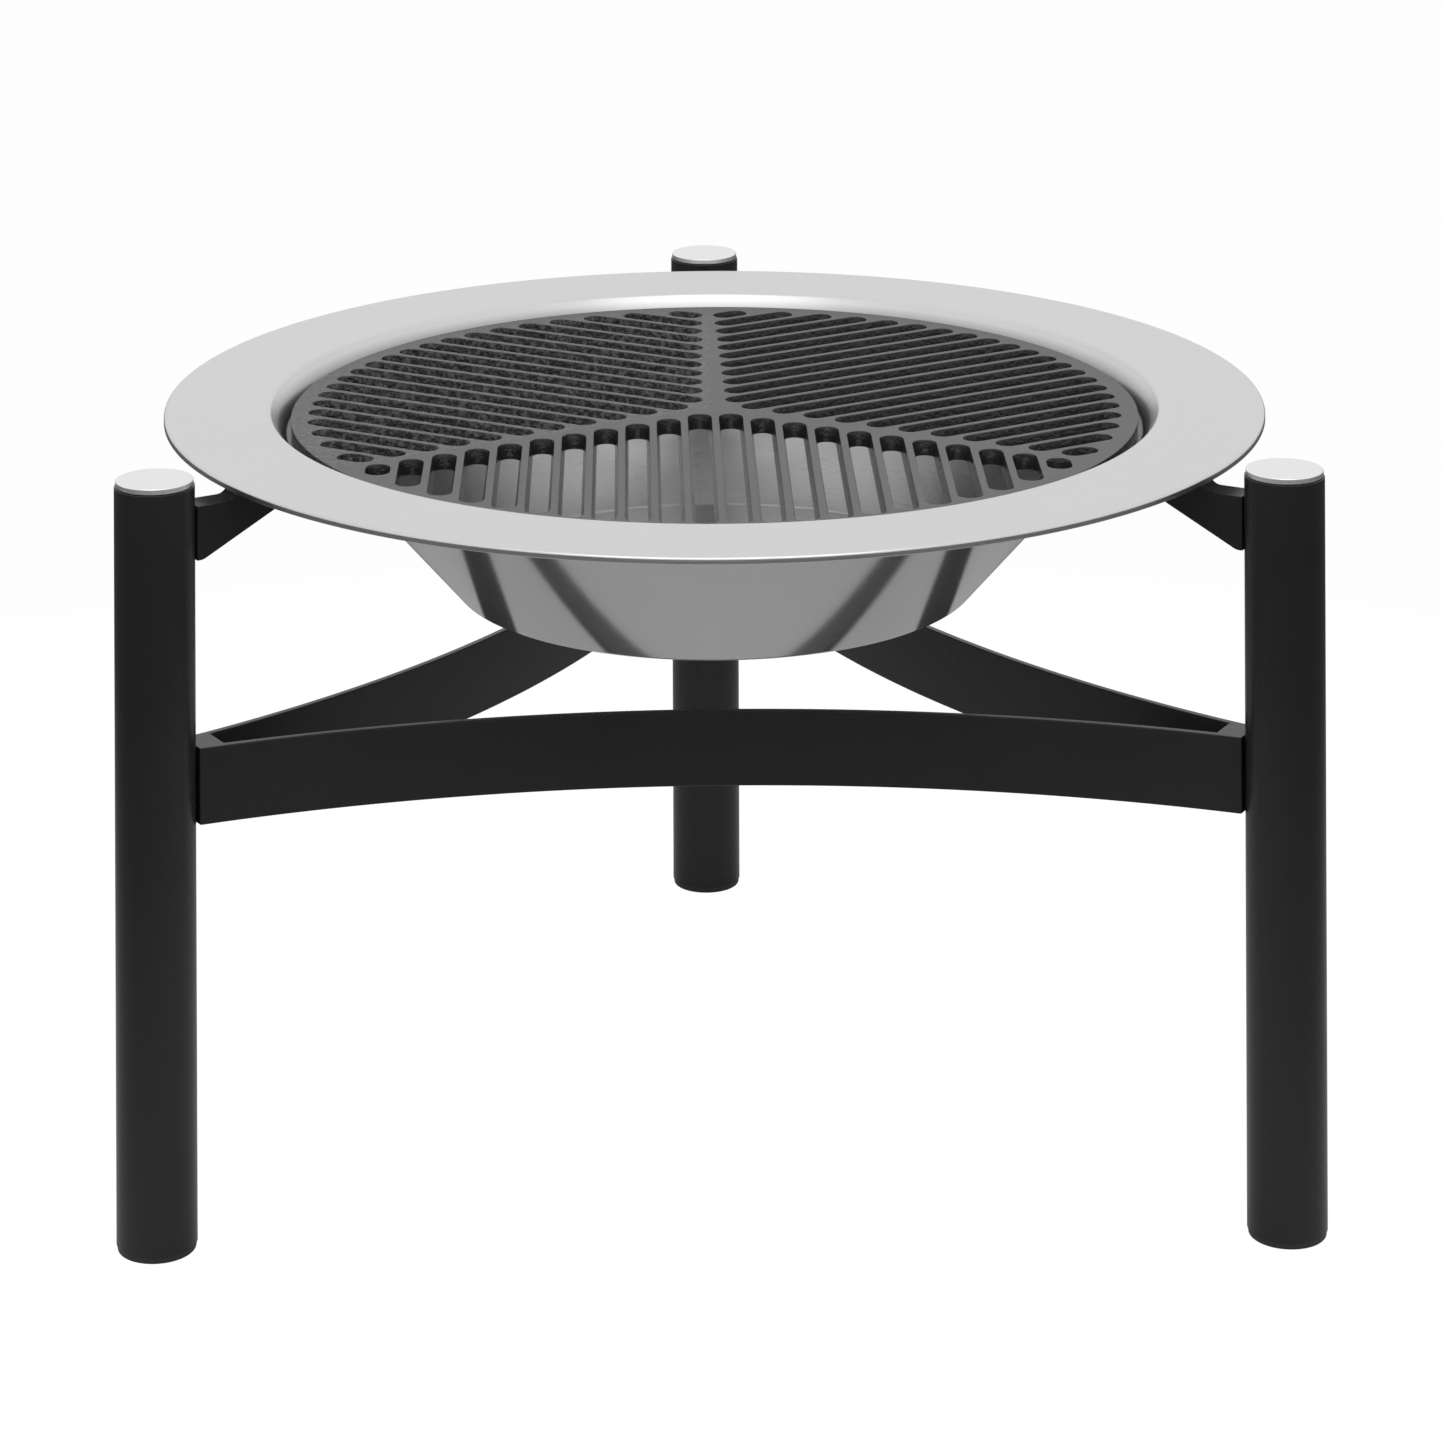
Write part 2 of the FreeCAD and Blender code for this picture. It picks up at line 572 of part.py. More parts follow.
def rivet_nuts(side, angle):
    """Two threaded sleeves: thin head outside the tube wall, upset collar inside it."""
    body = new_body(f"rivet_nuts_{side}")
    section = new_sketch(body, f"nut_{side}", "XZ_Plane")
    thread = f"{LOW_SCREW} + (Sizes.screw_diameter + Sizes.thread_play) / 2"
    sleeve = f"{LOW_SCREW} + Sizes.nut_diameter / 2"
    head = f"{LOW_SCREW} + Sizes.nut_head_diameter / 2"
    bulge = f"{LOW_SCREW} + Sizes.nut_bulge_diameter / 2"
    inside = f"(sqrt({BORE_RADIUS}^2 - (Sizes.nut_bulge_diameter / 2)^2) - Sizes.nut_bulge_play)"
    nut = turned(body, section, [
        (f"{LEG_RADIUS} - Sizes.nut_length", thread),
        (f"{LEG_RADIUS} + Sizes.nut_head_thickness", thread),
        (f"{LEG_RADIUS} + Sizes.nut_head_thickness", head),
        (LEG_RADIUS, head),
        (LEG_RADIUS, sleeve),
        (inside, sleeve),
        (inside, bulge),
        (f"{inside} - Sizes.nut_bulge_length", bulge),
        (f"{inside} - Sizes.nut_bulge_length", sleeve),
        (f"{LEG_RADIUS} - Sizes.nut_length", sleeve),
    ])
    stack_pair(body, [nut])
    place_at_leg(body, angle)
    return body


def bowl():
    """Pressed sheet: flat base, cone, ledge for the grate, steep wall, flange and lip."""
    body = new_body("bowl")
    section = new_sketch(body, "bowl_section", "XZ_Plane")
    base_top = f"({BASE_UNDER} + Sizes.sheet)"
    lip_low = f"({RIM_TOP} - Sizes.lip_height)"
    lip_inside = "(Sizes.rim_radius - Sizes.sheet)"
    cone_offset = f"({CONE_RATE} * Sizes.sheet - {CONE_SKEW})"
    base_inside = f"(Sizes.base_radius + {cone_offset})"
    cone_top_inside = f"({CONE_TOP} + {cone_offset})"
    wall_low = f"({LEDGE_RADIUS} - {WALL_RATE} * Sizes.sheet + {WALL_SKEW})"
    outline(section, [
        ("0", BASE_UNDER),
        ("Sizes.base_radius", BASE_UNDER),
        (CONE_TOP, LEDGE_UNDER),
        (wall_low, LEDGE_UNDER),
        (MOUTH_OUTSIDE, FLANGE_UNDER),
        (lip_inside, FLANGE_UNDER),
        (lip_inside, lip_low),
        ("Sizes.rim_radius", lip_low),
        ("Sizes.rim_radius", RIM_TOP),
        (MOUTH_RADIUS, RIM_TOP),
        (LEDGE_RADIUS, LEDGE_TOP),
        (cone_top_inside, LEDGE_TOP),
        (base_inside, base_top),
        ("0", base_top),
    ])
    spin(body, section, "V_Axis")
    inner_round = "Sizes.base_round - Sizes.sheet / 2"
    mouth_under_round = "Sizes.mouth_round - Sizes.sheet"
    ledge_outer_round = "Sizes.ledge_round + Sizes.sheet"
    for name, radius, height, size in (
        ("base_outside", "Sizes.base_radius", BASE_UNDER, "Sizes.base_round"),
        ("base_inside", base_inside, base_top, inner_round),
        ("cone_top_inside", cone_top_inside, LEDGE_TOP, "Sizes.sheet"),
        ("ledge_inside", LEDGE_RADIUS, LEDGE_TOP, "Sizes.ledge_round"),
        ("ledge_outside", wall_low, LEDGE_UNDER, ledge_outer_round),
        ("mouth_inside", MOUTH_RADIUS, RIM_TOP, "Sizes.mouth_round"),
        ("mouth_outside", MOUTH_OUTSIDE, FLANGE_UNDER, mouth_under_round),
        ("lip_outside", "Sizes.rim_radius", RIM_TOP, "Sizes.lip_round"),
    ):
        round_edges(body, ring_edge(radius, height), size, name)
    return body


def slot_sketch(body):
    """One sector's slots, all parallel to its middle line, which runs along +X."""
    sketch = new_sketch(body, "sector_slots", "XY_Plane")
    half = "(Sizes.slot_width / 2)"
    tip_circle = f"({GRATE_RADIUS} - Sizes.grate_ring - {half})"
    corner = f"({tip_circle} * sin({HALF_SECTOR}))"
    names = []
    for i in range(int(number(tip_circle) / number("Sizes.slot_pitch"))):
        away = f"({i + 0.5} * Sizes.slot_pitch)"
        spoke = f"(Sizes.spoke_half + Sizes.spoke_growth * (1 - {away} / {corner}))"
        inner = f"(({away} * cos({HALF_SECTOR}) + {spoke} + {half}) / sin({HALF_SECTOR}))"
        outer = f"(sqrt({tip_circle}^2 - {away}^2))"
        if number(outer) < number(inner):
            break
        for way, mark in ((1, "a"), (-1, "b")):
            y = number(away) * way
            x_in, x_out, r = number(inner), number(outer), number(half)
            near = Part.Circle(FreeCAD.Vector(x_in, y, 0), FreeCAD.Vector(0, 0, 1), r)
            far = Part.Circle(FreeCAD.Vector(x_out, y, 0), FreeCAD.Vector(0, 0, 1), r)
            first = sketch.addGeometry([
                Part.ArcOfCircle(near, math.pi / 2, 3 * math.pi / 2),
                Part.ArcOfCircle(far, -math.pi / 2, math.pi / 2),
                Part.LineSegment(FreeCAD.Vector(x_in, y + r, 0), FreeCAD.Vector(x_out, y + r, 0)),
                Part.LineSegment(FreeCAD.Vector(x_in, y - r, 0), FreeCAD.Vector(x_out, y - r, 0)),
            ], False)[0]
            side = "" if way > 0 else "-"
            wanted = [
                ("Tangent", (first, 1, first + 2, 1), None, None),
                ("Tangent", (first + 1, 2, first + 2, 2), None, None),
                ("Tangent", (first, 2, first + 3, 1), None, None),
                ("Tangent", (first + 1, 1, first + 3, 2), None, None),
                ("DistanceX", (-1, 1, first, 3), inner, "in_x"),
                ("DistanceY", (-1, 1, first, 3), f"{side}{away}", "in_y"),
                ("DistanceX", (-1, 1, first + 1, 3), outer, "out_x"),
                ("DistanceY", (-1, 1, first + 1, 3), f"{side}{away}", "out_y"),
                ("Radius", (first,), half, "radius"),
            ]
            constraints = []
            for kind, points, expression, name in wanted:
                values = points if expression is None else (*points, number(expression))
                constraints.append(Sketcher.Constraint(kind, *values))
                names.append((expression, f"slot_{mark}{i}_{name}"))
            sketch.addConstraint(constraints)
    for index, (expression, name) in enumerate(names):
        if expression is not None:
            sketch.renameConstraint(index, name)
            sketch.setExpression(f"Constraints.{name}", expression)
    return sketch


def grate():
    """Flat iron casting: a ring, three spokes that point at the legs, slots between."""
    body = new_body("grate")
    section = new_sketch(body, "grate_section", "XZ_Plane")
    outline(section, [
        ("0", "0"),
        (f"{GRATE_RADIUS} - Sizes.grate_taper", "0"),
        (GRATE_RADIUS, "Sizes.grate_thickness"),
        ("0", "Sizes.grate_thickness"),
    ])
    spin(body, section, "V_Axis")
    edge = ring_edge(GRATE_RADIUS, "Sizes.grate_thickness")
    round_edges(body, edge, "Sizes.grate_edge", "grate_edge")
    slots = slot_sketch(body)
    sector = cut(body, slots, "4 * Sizes.grate_thickness", both_ways=True)
    pattern = body.newObject("PartDesign::PolarPattern", "grate_sectors")
    pattern.Originals = [sector]
    pattern.Axis = (plane_of(body, "Z_Axis"), [""])
    pattern.Angle = 360
    pattern.setExpression("Occurrences", "Sizes.grate_sectors")
    body.Tip = pattern
    DOC.recompute()
    turn = FreeCAD.Rotation(FreeCAD.Vector(0, 0, 1), 30)
    body.Placement = FreeCAD.Placement(FreeCAD.Vector(0, 0, 0), turn)
    body.setExpression("Placement.Base.z", LEDGE_TOP)
    return body


def build():
    parts = []
    for side, angle in LEG_ANGLES.items():
        parts.append(leg_tube(side, angle))
        parts.append(leg_cap(side, angle))
        parts.append(leg_foot(side, angle))
        parts.append(corner_block(side, angle))
        parts.append(bowl_bracket(side, angle))
        parts.append(frame_screws(side, angle))
        parts.append(frame_washers(side, angle))
        parts.append(rivet_nuts(side, angle))
    for side, angle in BAR_ANGLES.items():
        parts.append(frame_bar(side, angle))
    parts.append(bowl())
    parts.append(grate())
    return parts


def check(parts):
    """Stop if any object failed to compute or any sub-part is empty or invalid."""
    for item in DOC.Objects:
        bad = {"Invalid", "Error"} & set(item.State)
        assert not bad, f"{item.Label} failed: {item.State}"
    for part in parts:
        assert not part.Shape.isNull(), f"{part.Label} is empty"
        assert part.Shape.isValid(), f"{part.Label} is not a valid shape"


def write(parts):
    os.makedirs("parts", exist_ok=True)
    for part in parts:
        part.Shape.exportStep(os.path.join("parts", f"{part.Label}.step"))


PARTS = build()
DOC.recompute()
check(PARTS)
write(PARTS)
for part in PARTS:
    box = part.Shape.BoundBox
    print(f"{part.Label:22s} solids {len(part.Shape.Solids)}  volume {part.Shape.Volume:10.0f}"
          f"  x {box.XMin:7.1f} {box.XMax:7.1f}  y {box.YMin:7.1f} {box.YMax:7.1f}"
          f"  z {box.ZMin:6.1f} {box.ZMax:6.1f}")
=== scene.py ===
import math

import bmesh
import bpy
from mathutils import Matrix, Vector


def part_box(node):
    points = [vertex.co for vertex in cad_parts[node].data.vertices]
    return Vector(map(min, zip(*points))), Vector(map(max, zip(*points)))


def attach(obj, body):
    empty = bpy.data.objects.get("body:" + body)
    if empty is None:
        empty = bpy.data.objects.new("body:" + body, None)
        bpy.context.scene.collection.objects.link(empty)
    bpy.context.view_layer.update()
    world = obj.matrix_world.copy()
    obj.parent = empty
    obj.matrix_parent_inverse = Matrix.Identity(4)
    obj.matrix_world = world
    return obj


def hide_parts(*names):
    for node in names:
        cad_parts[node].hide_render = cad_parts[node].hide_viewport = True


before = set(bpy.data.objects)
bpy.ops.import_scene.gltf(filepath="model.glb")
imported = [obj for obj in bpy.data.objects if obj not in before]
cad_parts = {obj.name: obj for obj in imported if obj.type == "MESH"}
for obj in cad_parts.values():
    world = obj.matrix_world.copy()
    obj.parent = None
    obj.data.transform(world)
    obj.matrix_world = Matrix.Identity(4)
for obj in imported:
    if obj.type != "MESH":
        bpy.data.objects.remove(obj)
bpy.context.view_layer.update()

MM = 0.001

# ---------------------------------------------------------------------------
# Bowl: one stainless sheet, spun into a flat-bottomed cone with a ledge for the
# grate, a steep wall, and a wide flange with a turned-down lip. Its upper side is
# brushed in circles about the axis, with painted shade darkening the corner just
# above the ledge, beside the grate; its underside keeps the mill's shine.

BOWL_LOW, BOWL_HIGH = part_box("bowl")
RIM_RADIUS = BOWL_HIGH[0]
RIM_TOP = BOWL_HIGH[2]
BASE_UNDER = BOWL_LOW[2]
SHEET = 2.0 * MM
FLANGE_WIDTH = 70.5 * MM
LIP_HEIGHT = 4.8 * MM
LEDGE_DEPTH = 17.6 * MM
LEDGE_WIDTH = 20.9 * MM
WALL_LEAN = 11.0 * MM
BASE_RADIUS = 174.5 * MM

MOUTH_RADIUS = RIM_RADIUS - FLANGE_WIDTH
LEDGE_RADIUS = MOUTH_RADIUS - WALL_LEAN
LEDGE_TOP = RIM_TOP - LEDGE_DEPTH
FLANGE_UNDER = RIM_TOP - SHEET


class Value:
    """An output of a node tree; + - * and / on it add Math nodes to that tree."""

    def __init__(self, graph, socket):
        self.graph = graph
        self.socket = socket

    def __getitem__(self, name):
        return Value(self.graph, self.socket.node.outputs[name])

    def math(self, operation, *terms):
        return self.graph.math(operation, self, *terms)

    def __add__(self, other):
        return self.graph.math("ADD", self, other)

    def __radd__(self, other):
        return self.graph.math("ADD", other, self)

    def __sub__(self, other):
        return self.graph.math("SUBTRACT", self, other)

    def __rsub__(self, other):
        return self.graph.math("SUBTRACT", other, self)

    def __mul__(self, other):
        return self.graph.math("MULTIPLY", self, other)

    def __rmul__(self, other):
        return self.graph.math("MULTIPLY", other, self)

    def __truediv__(self, other):
        return self.graph.math("DIVIDE", self, other)


class Graph:
    """Adds nodes to a tree: a node's type, its settings, then its sockets."""

    def __init__(self, tree):
        self.tree = tree

    def node(self, kind, settings=None, sockets=None, output=0):
        made = self.tree.nodes.new(kind)
        for name, value in (settings or {}).items():
            setattr(made, name, value)
        self.fill(made, sockets or {})
        return Value(self, made.outputs[output]) if made.outputs else made

    def fill(self, made, sockets):
        for name, value in sockets.items():
            for item in value if isinstance(value, list) else [value]:
                if isinstance(item, Value):
                    self.tree.links.new(item.socket, made.inputs[name])
                else:
                    made.inputs[name].default_value = item

    def math(self, operation, *terms):
        return self.node("ShaderNodeMath", {"operation": operation}, dict(enumerate(terms)))

    def blend(self, low, high, amount):
        """The colour between two greys or colours."""
        return self.node("ShaderNodeMix", {"data_type": "RGBA"},
                         {"Factor": amount, "A": low, "B": high}, "Result")

    def vector(self, x, y, z):
        return self.node("ShaderNodeCombineXYZ", None, {"X": x, "Y": y, "Z": z})

    def noise(self, place, scale, detail=2.0, roughness=0.5):
        return self.node("ShaderNodeTexNoise", None, {
            "Vector": place, "Scale": scale, "Detail": detail, "Roughness": roughness})

    def bump(self, height, depth):
        return self.node("ShaderNodeBump", None, {
            "Height": height, "Distance": depth, "Strength": 1.0})


def new_material(name):
    made = bpy.data.materials.new(name)
    made.use_nodes = True
    return made, Graph(made.node_tree), made.node_tree.nodes["Principled BSDF"]


def grey(level):
    return (level, level, level, 1.0)


def steel(name, shade, roughness, brushing, centre=(0.0, 0.0), metal=1.0, ledge_shade=None):
    """Stainless steel worked in circles about an upright axis through centre. A metal
    share under 1 leaves some haze on a mill finish. A band of painted shade lies
    between two heights and is darkest at the lower one."""
    made, graph, surface = new_material(name)
    place = graph.node("ShaderNodeTexCoord", output="Object")
    turned = graph.node("ShaderNodeMapping", None,
                        {"Vector": place, "Location": (-centre[0], -centre[1], 0.0)})
    x = graph.node("ShaderNodeSeparateXYZ", None, {"Vector": turned})
    y = x["Y"]
    z = x["Z"]
    radius = (x * x + y * y).math("SQRT").math("MAXIMUM", 0.0005)
    across = radius + z * 0.8
    fine = graph.noise(graph.vector(across * 3000.0, x * 9.0, y * 9.0), 1.0, 3.0, 0.65)
    broad = graph.noise(graph.vector(across * 420.0, x * 3.0, y * 3.0), 1.0, 2.0)
    # Painted sheen: the sweep noise changes with the angle about the axis, and its share of the
    # colour lays faint radial streaks that stand in for the highlights circular brushing throws.
    # Its share of the roughness varies the gloss.
    round_axis = graph.vector(x / radius * 14.0, y / radius * 14.0, radius * 5.0)
    sweep = graph.noise(round_axis, 1.0, 3.0, 0.6)
    patch = graph.noise(place, 9.0, 3.0)
    mark = fine * 0.5 + broad * 0.2 + sweep * 0.2 + patch * 0.1
    contrast = 0.22 * brushing
    low, high = shade * (1.0 - contrast), shade * (1.0 + contrast)
    colour = graph.blend(grey(low), grey(high), mark)
    # Painted shade: near the band's lower height the colour is pulled almost to black, fading out
    # by the upper one.
    if ledge_shade:
        lowest, highest = ledge_shade
        above = z.math("GREATER_THAN", lowest)
        shade_fade = ((z - lowest) / (highest - lowest)).math("MINIMUM", 1.0)
        colour = graph.blend(colour, grey(LEDGE_SHADE_TONE), above * (1 - shade_fade) * LEDGE_SHADE_COVER)
    graph.fill(surface, {
        "Base Color": colour,
        "Metallic": metal,
        "Roughness": (mark - 0.5) * (0.5 * brushing) + roughness,
        "Normal": graph.bump(fine + broad * 0.6, 0.012 * MM * brushing),
    })
    return made


def rounded(corners, steps=8):
    """A closed path through (x, y, radius) corners, each one turned into an arc."""
    path = []
    for i, (x, y, radius) in enumerate(corners):
        corner = Vector((x, y))
        if not radius:
            path.append((corner, i))
            continue
        before = (Vector(corners[i - 1][:2]) - corner).normalized()
        after = (Vector(corners[(i + 1) % len(corners)][:2]) - corner).normalized()
        half = before.angle(after) / 2
        centre = corner + (before + after).normalized() * (radius / math.sin(half))
        spoke = corner + before * (radius / math.tan(half)) - centre
        turn = math.pi - 2 * half
        if before.x * after.y - before.y * after.x > 0:
            turn = -turn
        for step in range(steps + 1):
            arm = Matrix.Rotation(turn * step / steps, 2) @ spoke
            path.append((centre + arm, i))
    return path


def to_object(name, made, materials):
    """Make a scene object of a closed bmesh, faces outwards."""
    bmesh.ops.recalc_face_normals(made, faces=made.faces)
    for face in made.faces:
        face.smooth = True
    mesh = bpy.data.meshes.new(name)
    made.to_mesh(mesh)
    made.free()
    for material in materials:
        mesh.materials.append(material)
    piece = bpy.data.objects.new(name, mesh)
    bpy.context.scene.collection.objects.link(piece)
    return piece


def settle(piece, weigh=True):
    """Weigh the normals by face area, then keep only the finished mesh."""
    if weigh:
        piece.modifiers.new("weigh", "WEIGHTED_NORMAL").weight = 90
    depsgraph = bpy.context.evaluated_depsgraph_get()
    mesh = bpy.data.meshes.new_from_object(
        piece.evaluated_get(depsgraph), preserve_all_data_layers=True, depsgraph=depsgraph)
    piece.modifiers.clear()
    piece.data = mesh
    return piece


def lathe(name, path, materials, centre=(0.0, 0.0), turns=96, finish=None, hexed=()):
    """Spin a closed path of (radius, height) about an upright axis. finish picks a
    material by corner, and the corners in hexed become hexagons."""
    made = bmesh.new()
    rings = []
    for point, corner in path:
        if point.x < 1e-7:
            rings.append([made.verts.new((centre[0], centre[1], point.y))])
            continue
        ring = []
        for k in range(turns):
            angle = math.tau * k / turns
            reach = point.x
            if corner in hexed:
                reach /= math.cos(angle % (math.pi / 3) - math.pi / 6)
            ring.append(made.verts.new((centre[0] + reach * math.cos(angle),
                                        centre[1] + reach * math.sin(angle), point.y)))
        rings.append(ring)
    for i, ring in enumerate(rings):
        following = rings[(i + 1) % len(rings)]
        if len(ring) == len(following) == 1:
            continue
        for k in range(turns):
            corners = [ring[k % len(ring)], ring[(k + 1) % len(ring)],
                       following[(k + 1) % len(following)], following[k % len(following)]]
            face = made.faces.new(list(dict.fromkeys(corners)))
            face.material_index = finish(path[i][1]) if finish else 0
    return settle(to_object(name, made, materials))


def skew(rate):
    """How far a sheet's two faces lie apart along the radius, where it climbs at rate."""
    return SHEET * math.sqrt(1 + rate ** 2) - rate * SHEET


cone_top = LEDGE_RADIUS - LEDGE_WIDTH
cone_rate = (cone_top - BASE_RADIUS) / (LEDGE_TOP - SHEET - BASE_UNDER)
wall_rate = WALL_LEAN / LEDGE_DEPTH
bowl_section = rounded([
    (0.0, BASE_UNDER, 0.0),
    (BASE_RADIUS, BASE_UNDER, 5.0 * MM),
    (cone_top, LEDGE_TOP - SHEET, 0.6 * MM),
    (LEDGE_RADIUS + skew(wall_rate), LEDGE_TOP - SHEET, 4.4 * MM),
    (MOUTH_RADIUS + skew(wall_rate), FLANGE_UNDER, 2.0 * MM),
    (RIM_RADIUS - SHEET, FLANGE_UNDER, 0.6 * MM),
    (RIM_RADIUS - SHEET, RIM_TOP - LIP_HEIGHT, 0.4 * MM),
    (RIM_RADIUS, RIM_TOP - LIP_HEIGHT, 0.6 * MM),
    (RIM_RADIUS, RIM_TOP, 2.2 * MM),
    (MOUTH_RADIUS, RIM_TOP, 4.0 * MM),
    (LEDGE_RADIUS, LEDGE_TOP, 2.4 * MM),
    (cone_top - skew(cone_rate), LEDGE_TOP, 2.0 * MM),
    (BASE_RADIUS - skew(cone_rate), BASE_UNDER + SHEET, 4.0 * MM),
    (0.0, BASE_UNDER + SHEET, 0.0),
])
UPPER_SIDE = 7  # first corner of the brushed side
# Painted shade in the corner above the ledge, where the grate meets the wall: a near-black band,
# darkest at the ledge.
LEDGE_SHADE_BAND = (LEDGE_TOP - 0.5 * MM, LEDGE_TOP + 13.0 * MM)
LEDGE_SHADE_TONE = 0.03
LEDGE_SHADE_COVER = 0.95
bowl = lathe(
    "fire_bowl", bowl_section,
    [steel("bowl_mill_finish", 0.47, 0.12, 0.22, metal=0.86),
     steel("bowl_brushed", 0.62, 0.30, 0.6, ledge_shade=LEDGE_SHADE_BAND)],
    turns=288, finish=lambda corner: int(corner >= UPPER_SIDE))
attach(bowl, "bowl")
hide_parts("bowl")

# ---------------------------------------------------------------------------
# Grate: a flat round sand casting in grey iron, with three sectors of parallel
# slots between spokes that point at the legs. The slots' lips are rounded and
# their walls narrow downwards. It lies loose on the bowl's ledge.

GRATE_LOW, GRATE_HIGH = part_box("grate")
GRATE_RADIUS = GRATE_HIGH[0]
GRATE_SIZES = {
    "Radius": GRATE_RADIUS,
    "Top": GRATE_HIGH[2],
    "Thickness": GRATE_HIGH[2] - GRATE_LOW[2],
    "Edge round": 0.6 * MM,
    "Underside round": 0.8 * MM,
    "Rim taper": 0.7 * MM,
    "Ring": 12.5 * MM,
    "Slot pitch": 21.0 * MM,
    "Slot width": 14.0 * MM,
    "Slot draft": 2.2 * MM,
    "Spoke half": 5.0 * MM,
    "Spoke growth": 4.0 * MM,
    "Wall segment": 2.0 * MM,
    "Roughness": 0.25 * MM,
    "Rough sector": 2.6 * MM,
}
SECTORS = 3
FIRST_SECTOR = math.radians(30)
SLOTS_PER_HALF = 11
ROUND_STEPS = 3
RIM_STEPS = 288
WELD = 0.02 * MM


def new_tree(name, sizes):
    """A Geometry Nodes tree with named sizes; returns its graph and those inputs."""
    tree = bpy.data.node_groups.new(name, "GeometryNodeTree")
    tree.interface.new_socket("Geometry", in_out="INPUT", socket_type="NodeSocketGeometry")
    for size in sizes:
        tree.interface.new_socket(size, in_out="INPUT", socket_type="NodeSocketFloat")
    tree.interface.new_socket("Geometry", in_out="OUTPUT", socket_type="NodeSocketGeometry")
    graph = Graph(tree)
    return graph, graph.node("NodeGroupInput")


def end_tree(graph, shape, material):
    """Close a tree: real geometry, its material, and the group's output."""
    real = graph.node("GeometryNodeRealizeInstances", None, {"Geometry": shape})
    finished = graph.node("GeometryNodeSetMaterial", None, {"Geometry": real, "Material": material})
    graph.node("NodeGroupOutput", None, {"Geometry": finished})


def grown(name, tree, sizes, start=None):
    """An object whose mesh is what the tree makes with these sizes."""
    mesh = start or bpy.data.meshes.new(name)
    piece = bpy.data.objects.new(name, mesh)
    bpy.context.scene.collection.objects.link(piece)
    modifier = piece.modifiers.new(name, "NODES")
    modifier.node_group = tree
    for item in tree.interface.items_tree:
        if item.in_out == "INPUT" and item.name in sizes:
            modifier[item.identifier] = sizes[item.name]
    settle(piece, weigh=False)
    turned = bmesh.new()
    turned.from_mesh(piece.data)
    bmesh.ops.recalc_face_normals(turned, faces=turned.faces)
    turned.to_mesh(piece.data)
    turned.free()
    return settle(piece)


def rough_sector(graph, place):
    """1 in the left-hand sector of slots, which the sand left rougher, and 0 elsewhere."""
    x = graph.node("ShaderNodeSeparateXYZ", None, {"Vector": place})
    y = x["Y"]
    angle = FIRST_SECTOR + math.tau / SECTORS
    along = x * math.cos(angle) + y * math.sin(angle)
    return along.math("GREATER_THAN", (x * x + y * y).math("SQRT") * math.cos(math.pi / SECTORS))


def cast_iron(name):
    """Sand-cast grey iron, oiled: a grainy face, glossier in the slots, where the walls of
    the slots and rim carry painted shade, a colour far darker than the face. In the
    rough sector, chips break up both the face and the walls."""
    made, graph, surface = new_material(name)
    place = graph.node("ShaderNodeTexCoord", output="Object")
    facing = graph.node("ShaderNodeNewGeometry", output="Normal")
    up = graph.node("ShaderNodeSeparateXYZ", None, {"Vector": facing}, "Z")
    flat = (up - 0.6).math("MULTIPLY", 4.0).math("MAXIMUM", 0.0).math("MINIMUM", 1.0)
    grain = graph.noise(place, 900.0, 3.0, 0.6)
    lumps = graph.noise(place, 230.0, 3.0, 0.55)
    clouds = graph.noise(place, 14.0, 4.0, 0.6)
    tone = grain * 0.35 + lumps * 0.35 + clouds * 0.3
    # Painted shade: surfaces facing sideways take the wall colour, several times darker than the
    # face colour, and flat picks between the two by the normal.
    face = graph.blend(grey(0.045), grey(0.115), tone)
    wall = graph.blend(grey(0.006), grey(0.026), tone)
    pits = graph.noise(place, 420.0, 2.0, 0.5)
    rough = rough_sector(graph, place)
    chips = ((lumps - 0.48) * 7.0).math("MAXIMUM", 0.0).math("MINIMUM", 1.0) * rough
    height = grain * 0.25 + (lumps + pits * 0.6) * (1.3 - flat + rough * 1.1)
    face_share = flat * (1 - chips * 0.75) + (1 - flat) * chips * 0.85
    graph.fill(surface, {
        "Base Color": graph.blend(wall, face, face_share),
        "Metallic": 0.0,
        "Roughness": 0.18 + face_share * 0.32 + (grain - 0.5) * 0.2,
        "Specular IOR Level": 0.36,
        "Normal": graph.bump(height, 0.5 * MM),
    })
    return made


def wall_profile(graph, lip, foot, slope, depth, way=1):
    """Section of a wall: a rounded lip at height 0, a sloping face and a rounded foot.
    A sweep draws the section's second axis downwards; way turns the lip round."""
    line = graph.node("GeometryNodeMeshLine", {"mode": "OFFSET"}, {"Count": 2 * ROUND_STEPS + 2})
    index = graph.node("GeometryNodeInputIndex")
    lower = index.math("GREATER_THAN", ROUND_STEPS + 0.5)
    turn = (index - lower * (ROUND_STEPS + 1)) * (math.pi / 2 / ROUND_STEPS)
    sine = turn.math("SINE")
    cosine = turn.math("COSINE")
    upper_x = lip * (1 - sine)
    upper_y = lip * (1 - cosine)
    lower_x = foot * (1 - cosine)
    lower_y = depth - foot * (1 - sine)
    x = upper_x + (lower_x - upper_x) * lower
    y = upper_y + (lower_y - upper_y) * lower
    placed = graph.node("GeometryNodeSetPosition", None, {
        "Geometry": line, "Position": graph.vector((x + y / depth * slope) * way, y, 0.0)})
    return graph.node("GeometryNodeMeshToCurve", None, {"Mesh": placed})


def swept(graph, path, profile):
    level = graph.node("GeometryNodeSetCurveNormal", {"mode": "Z_UP"}, {"Curve": path})
    return graph.node("GeometryNodeCurveToMesh", None, {"Curve": level, "Profile Curve": profile})


